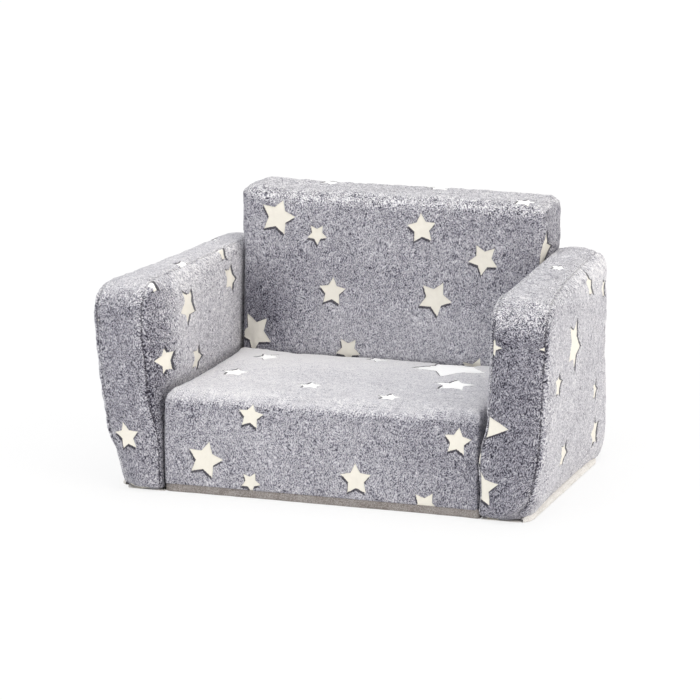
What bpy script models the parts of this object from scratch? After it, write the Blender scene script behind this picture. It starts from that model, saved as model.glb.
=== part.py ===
"""Kids flip open sofa: plush covers over foam blocks, with a seat that turns forward into a lounger.

Metres, +Z up, front towards -Y, origin under the middle of the bounding box.
"""
import math

import bmesh
import bpy
from mathutils import Matrix, Vector

# Overall form
SEAT_WIDTH = 0.530
BODY_DEPTH = 0.470
SEAT_HEIGHT = 0.166
SPLIT_HEIGHT = 0.0845
SEAT_SETBACK = 0.019
BACK_HEIGHT = 0.436
BACK_FOOT_DEPTH = 0.112
BACK_TOP_DEPTH = 0.086
ARM_HEIGHT = 0.344
ARM_THICKNESS = 0.084
ARM_LEAN = 0.027
ARM_FOOT_DRAW = 0.009

# Rounded outlines
ARM_FRONT_TOP_RADIUS = 0.050
ARM_REAR_TOP_RADIUS = 0.024
ARM_FRONT_FOOT_RADIUS = 0.030
ARM_REAR_FOOT_RADIUS = 0.055
BACK_TOP_RADIUS = 0.028
SEAT_FRONT_RADIUS = 0.020
SEAT_FOOT_RADIUS = 0.010

# Seams: how far the filled cover rounds off beside them
ARM_SEAM_RADIUS = 0.007
BACK_SEAM_RADIUS = 0.009
SEAT_SEAM_RADIUS = 0.008

# Crowns: how far the foam pushes each panel out between its seams
ARM_SIDE_CROWN = 0.008
ARM_STRIP_CROWN = 0.003
BACK_FRONT_CROWN = 0.006
BACK_TOP_CROWN = 0.006
SEAT_TOP_CROWN = 0.005

# Cloth, and the room between pieces
CLOTH = 0.0025
LINING = 0.0012
LINING_LIP = 0.010
SEWN_GAP = 0.0003
CORE_GAP = 0.0005
TURN_GAP = 0.0020

# Hinge strip: the plush fold that carries the flip seat
HINGE_STRIP_HEIGHT = 0.026
HINGE_STRIP_THICKNESS = 0.0012
HINGE_SETOUT = 0.003

# Zips: coil and tape in a slot of the cover, with a slider that has no pull tab
ZIP_SLOT_WIDTH = 0.012
ZIP_TAPE = 0.0008
ZIP_RECESS = 0.0014
ZIP_COIL_WIDTH = 0.0022
ZIP_COIL_HEIGHT = 0.0010
SLIDER_WIDTH = 0.0070
SLIDER_LENGTH = 0.0110
SLIDER_WALL = 0.0010
SLIDER_NOSE = 0.0022
ARM_ZIP_MARGIN = 0.072
SEAT_ZIP_MARGIN = 0.055
BACK_ZIP_HEIGHT = 0.060
LINING_SLOT_MARGIN = 0.001

# What follows from the sizes above. Here the arms' front plane is y = 0 until everything is centred
SLIDER_PROUD = ZIP_COIL_HEIGHT + SEWN_GAP + SLIDER_WALL - ZIP_RECESS
CENTRE_Y = (BODY_DEPTH + SLIDER_PROUD - ARM_STRIP_CROWN) / 2
FOOT_LEVEL = LINING + SEWN_GAP
SEAT_HALF_WIDTH = SEAT_WIDTH / 2
BACK_FRONT = BODY_DEPTH - BACK_FOOT_DEPTH
HINGE_Y = SEAT_SETBACK - HINGE_SETOUT - CENTRE_Y
ARM_ZIP_LENGTH = ARM_HEIGHT - 2 * ARM_ZIP_MARGIN
SEAT_ZIP_LENGTH = SEAT_WIDTH - 2 * SEAT_ZIP_MARGIN

ARC_SHARES = (0.0, 0.5)
SEAM_ANGLE = math.radians(50)
SMOOTH_ANGLE = math.radians(35)
SEAM_SEGMENTS = 2
SAME_PLACE = 1e-6


def empty_scene():
    for thing in list(bpy.data.objects):
        bpy.data.objects.remove(thing, do_unlink=True)


def add_collection(name):
    group = bpy.data.collections.new(name)
    bpy.context.scene.collection.children.link(group)
    return group


def material(name, colour, roughness, metallic=0.0):
    made = bpy.data.materials.new(name)
    made.use_nodes = True
    shader = made.node_tree.nodes["Principled BSDF"]
    shader.inputs["Base Color"].default_value = (*colour, 1.0)
    shader.inputs["Roughness"].default_value = roughness
    shader.inputs["Metallic"].default_value = metallic
    return made


# Soft blocks: a cut box whose faces are crowned, whose outline is rounded and whose seams are beveled

def cut_box(half, cuts):
    """A box of half sizes `half`, cut square to each axis at the offsets in `cuts`."""
    mesh = bmesh.new()
    bmesh.ops.create_cube(mesh, size=1.0)
    bmesh.ops.scale(mesh, vec=half * 2, verts=mesh.verts)
    for axis, offsets in enumerate(cuts):
        for offset in sorted(set(offsets)):
            if abs(offset) >= half[axis] - SAME_PLACE:
                continue
            place, normal = Vector(), Vector()
            place[axis], normal[axis] = offset, 1.0
            geometry = [*mesh.verts, *mesh.edges, *mesh.faces]
            bmesh.ops.bisect_plane(mesh, geom=geometry, dist=SAME_PLACE, plane_co=place, plane_no=normal)
    return mesh


def arc_cuts(half, low_radius, high_radius):
    """Offsets that give each rounded corner four arc steps, and one cut between."""
    cuts = [0.0]
    for side, radius in ((-1, low_radius), (1, high_radius)):
        cuts += [side * (half - radius * (1 - share)) for share in ARC_SHARES if radius > 0]
    return cuts


def bulge(value, low, high):
    """1 half way from low to high, falling to 0 at both, and 0 outside."""
    share = (2 * value - low - high) / (high - low)
    return max(0.0, 1 - share * share)


def crown(mesh, half, axis, side, height, spans=None):
    """Push the panel on one side of the box out, most in its middle."""
    across = [number for number in range(3) if number != axis]
    spans = spans or [(-half[number], half[number]) for number in across]
    for vertex in mesh.verts:
        if abs(vertex.co[axis] - side * half[axis]) < SAME_PLACE:
            lift = height
            for number, (low, high) in zip(across, spans):
                lift *= bulge(vertex.co[number], low, high)
            vertex.co[axis] += side * lift


def round_corner(mesh, half, axes, sides, radius):
    """Bend the square corner of the outline in the plane of two axes into an arc."""
    starts = [half[axis] - radius for axis in axes]
    for vertex in mesh.verts:
        first, second = [(side * vertex.co[axis] - start) / radius
                         for axis, side, start in zip(axes, sides, starts)]
        if min(first, second) <= 0:
            continue
        bent = (first * arc_share(second), second * arc_share(first))
        for axis, side, start, share in zip(axes, sides, starts, bent):
            vertex.co[axis] = side * (start + radius * share)


def arc_share(past):
    """How far a point is drawn in when its other offset is this share of the corner's radius."""
    return math.sqrt(1 - min(past, 1) ** 2 / 2)


def cut_slot(mesh, half, slot):
    """Take out the faces of the zip's slot."""
    gone = [face for face in mesh.faces if in_slot(face.calc_center_median(), half, slot)]
    bmesh.ops.delete(mesh, geom=gone, context="FACES")


def in_slot(point, half, slot):
    if abs(point[slot["axis"]] - slot["side"] * half[slot["axis"]]) > SAME_PLACE:
        return False
    return all(abs(point[axis] - middle) < reach for axis, middle, reach in slot["sides"])


def slot_on(axis, side, along, length, across, middles=(0.0, 0.0)):
    """A zip slot on one side of a block: where it lies along and across the panel."""
    along_middle, across_middle = middles
    sides = ((along, along_middle, length / 2), (across, across_middle, ZIP_SLOT_WIDTH / 2))
    return {"axis": axis, "side": side, "sides": sides}


def slot_cuts(cuts, slot):
    for axis, middle, reach in slot["sides"]:
        cuts[axis] += [middle - reach, middle + reach]
    return cuts


def cover_piece(name, form, cloth):
    """The cover over a block: an open surface with thickness, open only at its zip."""
    mesh = form.panels()
    cut_slot(mesh, form.half, form.slot)
    piece = place_mesh(name, mesh, form.centre, cloth)
    bevel_seams(piece, form.seam_radius)
    wall = piece.modifiers.new("cloth", "SOLIDIFY")
    wall.thickness = CLOTH
    wall.offset = -1
    return piece


def core_piece(name, form, filling):
    """The foam in a cover: the cover's own form, drawn in by the cloth and its clearance."""
    piece = place_mesh(name, form.panels(), form.centre, filling)
    bevel_seams(piece, form.seam_radius)
    inset = piece.modifiers.new("inset", "DISPLACE")
    inset.strength = -(CLOTH + CORE_GAP)
    inset.mid_level = 0
    return piece


def bevel_seams(piece, radius):
    seam = piece.modifiers.new("seams", "BEVEL")
    seam.width = radius
    seam.segments = SEAM_SEGMENTS
    seam.limit_method = "ANGLE"
    seam.angle_limit = SEAM_ANGLE


def place_mesh(name, mesh, centre, surface):
    data = bpy.data.meshes.new(name)
    mesh.to_mesh(data)
    mesh.free()
    piece = bpy.data.objects.new(name, data)
    data.materials.append(surface)
    data.shade_smooth()
    data.set_sharp_from_angle(angle=SMOOTH_ANGLE)
    parts.objects.link(piece)
    piece.location = centre
    return piece


# Arms: two side panels and a strip round the front, top and rear, leaning out towards the front

class ArmForm:
    half = Vector((ARM_THICKNESS, BODY_DEPTH, ARM_HEIGHT - FOOT_LEVEL)) / 2
    seam_radius = ARM_SEAM_RADIUS

    def __init__(self, side):
        self.side = side
        self.centre = Vector((side * (SEAT_HALF_WIDTH + SEWN_GAP + self.half.x), BODY_DEPTH / 2 - CENTRE_Y,
                              FOOT_LEVEL + self.half.z))
        self.lip_top = LINING_LIP - self.half.z
        self.slot = slot_on(1, 1, 2, ARM_ZIP_LENGTH, 0)

    def panels(self):
        half = self.half
        cuts = [[0.0], arc_cuts(half.y, ARM_FRONT_FOOT_RADIUS, ARM_REAR_FOOT_RADIUS), [self.lip_top, 0.0]]
        cuts[1] += arc_cuts(half.y, ARM_FRONT_TOP_RADIUS, ARM_REAR_TOP_RADIUS)
        cuts[2] += arc_cuts(half.z, ARM_FRONT_FOOT_RADIUS, ARM_FRONT_TOP_RADIUS)
        cuts[2] += arc_cuts(half.z, ARM_REAR_FOOT_RADIUS, ARM_REAR_TOP_RADIUS)
        mesh = cut_box(half, slot_cuts(cuts, self.slot))
        crown(mesh, half, 0, self.side, ARM_SIDE_CROWN, [(-half.y, half.y), (self.lip_top, half.z)])
        crown(mesh, half, 1, -1, ARM_STRIP_CROWN)
        crown(mesh, half, 2, 1, ARM_STRIP_CROWN)
        round_corner(mesh, half, (1, 2), (-1, 1), ARM_FRONT_TOP_RADIUS)
        round_corner(mesh, half, (1, 2), (1, 1), ARM_REAR_TOP_RADIUS)
        round_corner(mesh, half, (1, 2), (-1, -1), ARM_FRONT_FOOT_RADIUS)
        round_corner(mesh, half, (1, 2), (1, -1), ARM_REAR_FOOT_RADIUS)
        self.lean(mesh)
        return mesh

    def lean(self, mesh):
        """The arm is straight at its rear, leans out towards its front top and is drawn in at its foot."""
        for vertex in mesh.verts:
            rise = max(0.0, (vertex.co.z - self.lip_top) / (self.half.z - self.lip_top))
            forward = (self.half.y - vertex.co.y) / (2 * self.half.y)
            outward = (self.half.x + self.side * vertex.co.x) / (2 * self.half.x)
            foot = (1 - rise) ** 2
            vertex.co.x += self.side * (ARM_LEAN * (1 - foot) - ARM_FOOT_DRAW * foot * outward) * forward


# Back: one upright block between the arms, thinner towards its top

class BackForm:
    half = Vector((SEAT_WIDTH, BACK_FOOT_DEPTH, BACK_HEIGHT - FOOT_LEVEL)) / 2
    seam_radius = BACK_SEAM_RADIUS
    centre = Vector((0.0, BODY_DEPTH - half.y - CENTRE_Y, FOOT_LEVEL + half.z))
    seat_level = SEAT_HEIGHT - FOOT_LEVEL - half.z
    slot = slot_on(1, 1, 0, SEAT_ZIP_LENGTH, 2, (0.0, BACK_ZIP_HEIGHT - half.z))

    def panels(self):
        half = self.half
        cuts = [arc_cuts(half.x, BACK_TOP_RADIUS, BACK_TOP_RADIUS), [0.0],
                arc_cuts(half.z, 0, BACK_TOP_RADIUS)]
        cuts[0] += [-half.x / 2, half.x / 2]
        cuts[2] += [self.seat_level, (self.seat_level + half.z) / 2]
        mesh = cut_box(half, slot_cuts(cuts, self.slot))
        crown(mesh, half, 1, -1, BACK_FRONT_CROWN, [(-half.x, half.x), (self.seat_level, half.z)])
        crown(mesh, half, 2, 1, BACK_TOP_CROWN)
        for side in (-1, 1):
            round_corner(mesh, half, (0, 2), (side, 1), BACK_TOP_RADIUS)
        self.taper(mesh)
        return mesh

    def taper(self, mesh):
        """Above the seat the front panel leans back, while the rear one stays upright."""
        for vertex in mesh.verts:
            rise = max(0.0, (vertex.co.z - self.seat_level) / (self.half.z - self.seat_level))
            forward = (self.half.y - vertex.co.y) / (2 * self.half.y)
            vertex.co.y += (BACK_FOOT_DEPTH - BACK_TOP_DEPTH) * rise * forward


# Seat: a fixed lower slab and an upper slab that turns over forward, of nearly one thickness

class SeatForm:
    seam_radius = SEAT_SEAM_RADIUS

    def __init__(self, low, high, side_gap, rear_gap, crown_height, radii, slot_side):
        depth = BACK_FRONT - rear_gap - SEAT_SETBACK
        self.half = Vector((SEAT_WIDTH - 2 * side_gap, depth, high - low)) / 2
        self.centre = Vector((0.0, SEAT_SETBACK + self.half.y - CENTRE_Y, low + self.half.z))
        self.crown_height = crown_height
        self.low_radius, self.high_radius = radii
        axis, side, across = slot_side
        self.slot = slot_on(axis, side, 0, SEAT_ZIP_LENGTH, across)

    def panels(self):
        half = self.half
        cuts = [[-half.x / 2, 0.0, half.x / 2], arc_cuts(half.y, max(self.low_radius, self.high_radius), 0),
                arc_cuts(half.z, self.low_radius, self.high_radius)]
        cuts[1] += [-half.y / 2, half.y / 2]
        mesh = cut_box(half, slot_cuts(cuts, self.slot))
        if self.crown_height:
            crown(mesh, half, 2, 1, self.crown_height)
        for side, radius in ((-1, self.low_radius), (1, self.high_radius)):
            if radius:
                round_corner(mesh, half, (1, 2), (-1, side), radius)
        return mesh


# Zips: a tape with its coil, flush in the slot, and a slider over the coil

def ribbon(name, outline, length, surface):
    """A straight piece of one closed outline, as long as stated, along its own Z."""
    curve = bpy.data.curves.new(name, "CURVE")
    curve.dimensions = "2D"
    curve.fill_mode = "BOTH"
    curve.extrude = length / 2
    spline = curve.splines.new("POLY")
    spline.points.add(len(outline) - 1)
    for point, (across, out) in zip(spline.points, outline):
        point.co = (across, out, 0.0, 1.0)
    spline.use_cyclic_u = True
    curve.materials.append(surface)
    piece = bpy.data.objects.new(name, curve)
    parts.objects.link(piece)
    return piece


def mirrored(outline):
    """Close a right half outline, listed from the bottom up, with its left half."""
    return outline + [(-across, out) for across, out in reversed(outline)]


def tape_outline():
    edge = ZIP_SLOT_WIDTH / 2 - SEWN_GAP
    face = -ZIP_RECESS
    coil = ZIP_COIL_WIDTH / 2
    return mirrored([(edge, face - ZIP_TAPE), (edge, face), (coil, face), (coil, face + ZIP_COIL_HEIGHT)])


def slider_outline():
    foot = SEWN_GAP - ZIP_RECESS
    roof = foot + ZIP_COIL_HEIGHT
    groove = ZIP_COIL_WIDTH / 2 + SEWN_GAP
    shoulder = SLIDER_WIDTH / 2
    top = roof + SLIDER_WALL
    bevel = top - SLIDER_WALL / 2
    return mirrored([(groove, roof), (groove, foot), (shoulder, foot), (shoulder, bevel),
                     (shoulder - SLIDER_WALL, top)])


def add_zip(name, form, tape_cloth, metal):
    """Tape and slider for one block's slot, the slider at the slot's low end."""
    slot = form.slot
    (along, along_middle, reach), (across, across_middle, _) = slot["sides"]
    middle = form.centre.copy()
    middle[slot["axis"]] += slot["side"] * form.half[slot["axis"]]
    middle[along] += along_middle
    middle[across] += across_middle
    outward, run = Vector(), Vector()
    outward[slot["axis"]], run[along] = slot["side"], 1.0
    turn = frame_turn(outward, run)

    tape = ribbon(name + "_zip_tape", tape_outline(), 2 * (reach - SEWN_GAP), tape_cloth)
    tape.rotation_euler = turn
    tape.location = middle

    slider = ribbon(name + "_zip_slider", slider_outline(), SLIDER_LENGTH, metal)
    slider.rotation_euler = turn
    slider.location = middle - run * (reach - SEWN_GAP - SLIDER_LENGTH / 2 - SLIDER_NOSE)
    return tape, slider


def frame_turn(outward, run):
    """The turn that takes a ribbon's own Y to `outward` and its own Z to `run`."""
    across = outward.cross(run)
    return Matrix((across, outward, run)).transposed().to_euler()


# Hinge strip and lining: sheets

def sheet_piece(name, mesh, centre, surface, thickness):
    piece = place_mesh(name, mesh, centre, surface)
    wall = piece.modifiers.new("cloth", "SOLIDIFY")
    wall.thickness = thickness
    wall.offset = 1
    wall.use_even_offset = True
    return piece


def sheet(low, high, cuts_x, cuts_y):
    """A level rectangle that faces down, cut at the places given."""
    mesh = bmesh.new()
    bmesh.ops.create_grid(mesh, x_segments=1, y_segments=1, size=0.5)
    bmesh.ops.scale(mesh, vec=(high.x - low.x, high.y - low.y, 1.0), verts=mesh.verts)
    bmesh.ops.translate(mesh, vec=(low + high) / 2, verts=mesh.verts)
    bmesh.ops.reverse_faces(mesh, faces=mesh.faces)
    for axis, offsets in ((0, cuts_x), (1, cuts_y)):
        for offset in offsets:
            place, normal = Vector(), Vector()
            place[axis], normal[axis] = offset, 1.0
            geometry = [*mesh.verts, *mesh.edges, *mesh.faces]
            bmesh.ops.bisect_plane(mesh, geom=geometry, dist=SAME_PLACE, plane_co=place, plane_no=normal)
    return mesh


def turn_up_edge(mesh, axis, place, height):
    """Turn the sheet's border at one place along an axis straight up."""
    border = [edge for edge in mesh.edges if edge.is_boundary
              and all(abs(vertex.co[axis] - place) < SAME_PLACE for vertex in edge.verts)]
    raised = bmesh.ops.extrude_edge_only(mesh, edges=border)["geom"]
    lifted = [item for item in raised if isinstance(item, bmesh.types.BMVert)]
    bmesh.ops.translate(mesh, vec=(0.0, 0.0, height), verts=lifted)


def add_seat_lining(cloth, seat_base):
    """Under the seat and the back, turned up in front of the seat and open at the seat's zip."""
    front = SEAT_SETBACK - SEWN_GAP - CENTRE_Y
    low = Vector((-SEAT_HALF_WIDTH, front, LINING))
    high = Vector((SEAT_HALF_WIDTH, BODY_DEPTH - CENTRE_Y, LINING))
    slot_x = SEAT_ZIP_LENGTH / 2 + LINING_SLOT_MARGIN
    slot_y = ZIP_SLOT_WIDTH / 2 + LINING_SLOT_MARGIN
    middle_y = seat_base.centre.y
    mesh = sheet(low, high, (-slot_x, slot_x), (middle_y - slot_y, middle_y + slot_y))
    gone = [face for face in mesh.faces if abs(face.calc_center_median().x) < slot_x
            and abs(face.calc_center_median().y - middle_y) < slot_y]
    bmesh.ops.delete(mesh, geom=gone, context="FACES")
    turn_up_edge(mesh, 1, front, LINING_LIP)
    return sheet_piece("seat_lining", mesh, Vector(), cloth, LINING)


def add_arm_lining(name, arm, cloth):
    """Under one arm's flat foot, turned up outside it and following its drawn-in side."""
    inner = arm.side * (SEAT_HALF_WIDTH + SEWN_GAP)
    outer = arm.side * (SEAT_HALF_WIDTH + SEWN_GAP + ARM_THICKNESS + SEWN_GAP)
    front = ARM_FRONT_FOOT_RADIUS - CENTRE_Y
    rear = BODY_DEPTH - ARM_REAR_FOOT_RADIUS - CENTRE_Y
    low = Vector((min(inner, outer), front, LINING))
    high = Vector((max(inner, outer), rear, LINING))
    mesh = sheet(low, high, (), ())
    turn_up_edge(mesh, 0, outer, LINING_LIP)
    for vertex in mesh.verts:
        if abs(vertex.co.x - outer) < SAME_PLACE:
            forward = (BODY_DEPTH - CENTRE_Y - vertex.co.y) / BODY_DEPTH
            vertex.co.x -= arm.side * ARM_FOOT_DRAW * forward
    return sheet_piece(name, mesh, Vector(), cloth, LINING)


def add_hinge_strip(cloth):
    """The plush over the split at the front. It folds on itself when the seat is turned over."""
    half = Vector((SEAT_HALF_WIDTH - TURN_GAP, HINGE_STRIP_THICKNESS / 2, HINGE_STRIP_HEIGHT / 2))
    middle_y = SEAT_SETBACK - SEWN_GAP - half.y - CENTRE_Y
    centre = Vector((0.0, middle_y, SPLIT_HEIGHT))
    return place_mesh("hinge_strip", cut_box(half, ([], [], [0.0])), centre, cloth)


empty_scene()
parts = add_collection("kids_flip_open_sofa")

plush = material("plush", (0.52, 0.52, 0.60), 0.95)
foam = material("foam", (0.86, 0.82, 0.66), 0.90)
lining_cloth = material("lining", (0.42, 0.39, 0.37), 0.85)
zip_cloth = material("zip_tape", (0.36, 0.36, 0.40), 0.80)
slider_metal = material("zip_slider", (0.48, 0.48, 0.50), 0.40, 0.9)

blocks = {
    "left_arm": ArmForm(-1),
    "right_arm": ArmForm(1),
    "back": BackForm(),
    "seat_base": SeatForm(FOOT_LEVEL, SPLIT_HEIGHT - SEWN_GAP / 2, SEWN_GAP, SEWN_GAP, 0.0,
                          (SEAT_FOOT_RADIUS, 0.0), (2, -1, 1)),
    "flip_seat": SeatForm(SPLIT_HEIGHT + SEWN_GAP / 2, SEAT_HEIGHT - SEAT_TOP_CROWN, TURN_GAP, TURN_GAP,
                          SEAT_TOP_CROWN, (0.0, SEAT_FRONT_RADIUS), (1, 1, 2)),
}
for block_name, block in blocks.items():
    cover_piece(block_name + "_cover", block, plush)
    core_piece(block_name + "_core", block, foam)
    add_zip(block_name, block, zip_cloth, slider_metal)

add_hinge_strip(plush)
add_seat_lining(lining_cloth, blocks["seat_base"])
add_arm_lining("left_arm_lining", blocks["left_arm"], lining_cloth)
add_arm_lining("right_arm_lining", blocks["right_arm"], lining_cloth)

# The flip seat turns about the split's front edge
flip_pivot = bpy.data.objects.new("flip_pivot", None)
flip_pivot.location = (0.0, HINGE_Y, SPLIT_HEIGHT)
parts.objects.link(flip_pivot)
for flip_name in ("flip_seat_cover", "flip_seat_core", "flip_seat_zip_tape", "flip_seat_zip_slider"):
    piece = bpy.data.objects[flip_name]
    piece.parent = flip_pivot
    piece.location -= flip_pivot.location
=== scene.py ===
"""The looks of the kids flip open sofa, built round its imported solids. Metres, front towards -Y."""
import math
import random

import bpy
import numpy as np
from mathutils import Matrix, Vector, noise


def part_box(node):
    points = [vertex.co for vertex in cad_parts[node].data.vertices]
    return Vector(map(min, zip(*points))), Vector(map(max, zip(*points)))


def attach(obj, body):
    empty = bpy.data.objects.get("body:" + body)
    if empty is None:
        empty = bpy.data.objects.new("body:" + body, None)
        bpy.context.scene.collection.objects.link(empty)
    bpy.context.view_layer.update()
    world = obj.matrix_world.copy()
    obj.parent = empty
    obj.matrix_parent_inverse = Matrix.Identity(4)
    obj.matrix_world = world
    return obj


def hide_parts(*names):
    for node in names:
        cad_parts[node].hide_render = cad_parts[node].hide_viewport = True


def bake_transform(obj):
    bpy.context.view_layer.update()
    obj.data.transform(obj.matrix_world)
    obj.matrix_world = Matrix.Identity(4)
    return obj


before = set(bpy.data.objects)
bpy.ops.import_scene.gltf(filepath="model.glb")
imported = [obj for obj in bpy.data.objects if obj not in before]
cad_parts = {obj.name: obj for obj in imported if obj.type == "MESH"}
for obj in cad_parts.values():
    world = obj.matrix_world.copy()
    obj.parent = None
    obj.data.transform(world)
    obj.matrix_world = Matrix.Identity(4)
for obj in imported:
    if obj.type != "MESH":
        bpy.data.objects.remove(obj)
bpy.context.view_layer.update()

# Camera: a long lens in front of the sofa, a little to its right and above it.
CAMERA_PLACE = (1.5576, -4.5975, 1.3124)
CAMERA_LENS = 156.56
CAMERA_YAW = math.radians(18.97)
CAMERA_PITCH = math.radians(12.85)
CAMERA_ROLL = math.radians(-0.257)

camera_data = bpy.data.cameras.new("camera")
camera_data.lens = CAMERA_LENS
camera_data.sensor_width = 36.0
camera = bpy.data.objects.new("camera", camera_data)
bpy.context.scene.collection.objects.link(camera)
level = Matrix.Rotation(CAMERA_YAW, 4, "Z") @ Matrix.Rotation(math.pi / 2 - CAMERA_PITCH, 4, "X")
camera.matrix_world = Matrix.Translation(CAMERA_PLACE) @ level @ Matrix.Rotation(CAMERA_ROLL, 4, "Z")
bpy.context.scene.camera = camera


# Arms: each is a foam block in a plush cover of two side panels and a strip that runs round the front,
# the top and the rear. They lean out towards the front, are drawn in at the foot and are sewn to the seat
# and the back. The cover is cut on a grid, filled under pressure, and then gets its seams, stars and pile.

SEAT_HALF_WIDTH = 0.265
FOOT_LEVEL = 0.0015
ARM_FRONT = -0.23395
BODY_REAR = 0.23605
ARM_HEIGHT = 0.344
ARM_THICKNESS = 0.084
SEWN_GAP = 0.0003
ARM_LEAN = 0.027
ARM_FOOT_DRAW = 0.009
ARM_LIP = 0.010
ARM_CORNERS = (((1, 1), 0.024), ((-1, -1), 0.020), ((1, -1), 0.055))
ARM_FRONT_TURN = {-1: 0.056, 1: 0.074}
ARM_FOOT_RADIUS = 0.007
ARM_INNER_ROLL = {-1: 0.006, 1: 0.003}
ARM_OUTER_ROLLS = (0.005, 0.016)
ARM_SIDE_CROWN = 0.005
ARM_INNER_FILL = {-1: 1.0, 1: 0.25}
ARM_OVERHANG = {-1: 0.006, 1: 0.001}
FILL_REACHES = (0.090, 0.040)
FOOT_TUCK = {-1: 0.0, 1: 0.5}
FOOT_TUCK_TOP = 0.045
FOOT_LIFT = 0.0065
FOOT_LIFT_REACH = 0.024
ARM_STRIP_CROWN = 0.004
CROWN_FADE = 0.05
ARM_TOP_SET = {-1: (-0.001, -0.008), 1: (0.007, -0.002)}
ARM_FREE_LEANS = {-1: (0.0135, 0.0090), 1: (0.0125, 0.0065)}
ARM_SEWN_LEAN = {-1: 0.002, 1: -0.0015}
LEAN_START = 0.088
LEAN_END = 0.165
LEAN_TOP = 0.280
SEWN_PULL = 0.008
FOOT_CORNER = 0.042
FOOT_CORNER_TOP = 0.115
BURIED_ROLL = 0.002
BURIED_LEVELS = (0.10, 0.16)
SIDE_SHARPNESS = 8
FILL_SHARPNESS = 4
TOP_LIFT_FADE = 0.4
FOOT_LIFT_TOP = 0.035
OVERHANG_LEVELS = (0.162, 0.195)
OVERHANG_FADE = 0.03
BESIDE_BACK = 0.118
PULL_LEVELS = (0.06, 0.12)
PULL_SHARE = (0.9, 1.0)

GRID_STEP = 0.0059
SEAM_STEP = 0.0034
STEP_GROWTH = 1.25
PRESSURE = 4.0
FILL_FRAMES = 20
FILL_LIMIT = 0.0040
CLOTH_SHRINK = -0.02
TINY = 1e-6
FAR = 1.0

SEAM_DEPTH = 0.0015
SEAM_REACH = 0.0026
PUCKER_DEPTH = 0.0006
PUCKER_REACH = 0.014
PUCKER_SIZE = 0.020
WAVE_DEPTH = 0.0012
WAVE_SIZE = 0.085
WAVE_FADE = 0.03
CLUMP_DEPTH = 0.0007
CLUMP_SIZE = 0.0062
STAR_DEPTH = 0.0014
STAR_EDGE = 0.003
STAR_WAIST = 0.52
STAR_SHADOW_SHIFT = 0.0042
FIFTH = 2 * math.pi / 5
BEND_OPENING = 0.16
LIE_WANDER = 0.14
LIE_WANDER_SIZE = 0.07
RUFFLE_REACH = 0.014
RUFFLE_GAIN = 0.6
NOISE_SHIFT = (17.3, 5.1, 9.7)

# How far a normal points to a side or up (0 to 1) for each part of the cover: where it starts and is full,
# and for the two bends the middle and the width
SIDE_FACING = (0.45, 0.9)
TOP_FACING = (0.20, 0.97)
TOPSIDE_FACING = (0.5, 0.9)
RUFFLED_TOP_FACING = (0.30, 0.70)
OPEN_BEND, OPEN_BEND_WIDTH = 0.25, 0.20
RUFFLED_BEND, RUFFLED_BEND_WIDTH = 0.40, 0.18


def grid_lines(half):
    """Grid places from -half to half: closest beside the two seams, then one step apart."""
    ends, gap = [0.0], SEAM_STEP
    while gap < GRID_STEP and ends[-1] + gap < half / 2:
        ends.append(ends[-1] + gap)
        gap *= STEP_GROWTH
    ends = np.array(ends)
    inner = half - ends[-1]
    middle = np.linspace(-inner, inner, max(2, round(2 * inner / GRID_STEP)) + 1)
    return np.concatenate((ends[:-1] - half, middle, half - ends[-2::-1]))


def box_grid(half):
    """The points, faces and panel numbers (two for each axis, low side first) of a box cut by its grid."""
    lines = [grid_lines(reach) for reach in half]
    outer = np.ones([len(line) for line in lines], bool)
    outer[1:-1, 1:-1, 1:-1] = False
    number = np.full(outer.shape, -1)
    number[outer] = np.arange(outer.sum())
    points = np.stack([grid[outer] for grid in np.meshgrid(*lines, indexing="ij")], axis=1)
    faces, panels = [], []
    for axis in range(3):
        for side in (0, 1):
            layer = np.take(number, -side, axis=axis)
            quads = np.stack((layer[:-1, :-1], layer[1:, :-1], layer[1:, 1:], layer[:-1, 1:]), axis=-1)
            quads = quads.reshape(-1, 4)
            if (side == 0) != (axis == 1):
                quads = quads[:, ::-1]
            faces.append(quads)
            panels.append(np.full(len(quads), 2 * axis + side))
    return points, np.concatenate(faces), np.concatenate(panels)


def rounded(points, half, radius):
    """Round the box's edges by a radius."""
    core = np.clip(points, radius - half, half - radius)
    out = points - core
    return core + out * (radius / np.maximum(np.linalg.norm(out, axis=1, keepdims=True), TINY))


def bulge(value, half):
    return np.clip(1 - (value / half) ** 2, 0, None)


def smooth(value, low, high):
    """0 below low and 1 above high, smoothly between."""
    share = np.clip((value - low) / (high - low), 0, 1)
    return share * share * (3 - 2 * share)


def round_corner(points, half, axes, sides, radius):
    """Bend the square corner of the outline in the plane of two axes into an arc."""
    first, second = [(side * points[:, axis] - half[axis]) / radius + 1 for axis, side in zip(axes, sides)]
    corner = (first > 0) & (second > 0)
    first, second = first[corner], second[corner]
    reach = np.maximum(np.maximum(first, second), 1)
    first, second = first / reach, second / reach
    bent = (reach * first * np.sqrt(1 - second ** 2 / 2), reach * second * np.sqrt(1 - first ** 2 / 2))
    for axis, side, share in zip(axes, sides, bent):
        points[corner, axis] = side * (half[axis] - radius * (1 - share))


def seam_distance(flat, half, sewn):
    """How far along the cover each point lies from the edge of the panels (axis, side) that are sewn in."""
    nearest = np.full(len(flat), FAR)
    for axis, side in sewn:
        others = [number for number in range(3) if number != axis]
        border = np.minimum(*[half[number] - np.abs(flat[:, number]) for number in others])
        nearest = np.minimum(nearest, border + half[axis] - side * flat[:, axis])
    return nearest


def new_piece(name, points, faces):
    data = bpy.data.meshes.new(name)
    data.from_pydata(points.tolist(), [], faces.tolist())
    piece = bpy.data.objects.new(name, data)
    bpy.context.scene.collection.objects.link(piece)
    return piece


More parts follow.
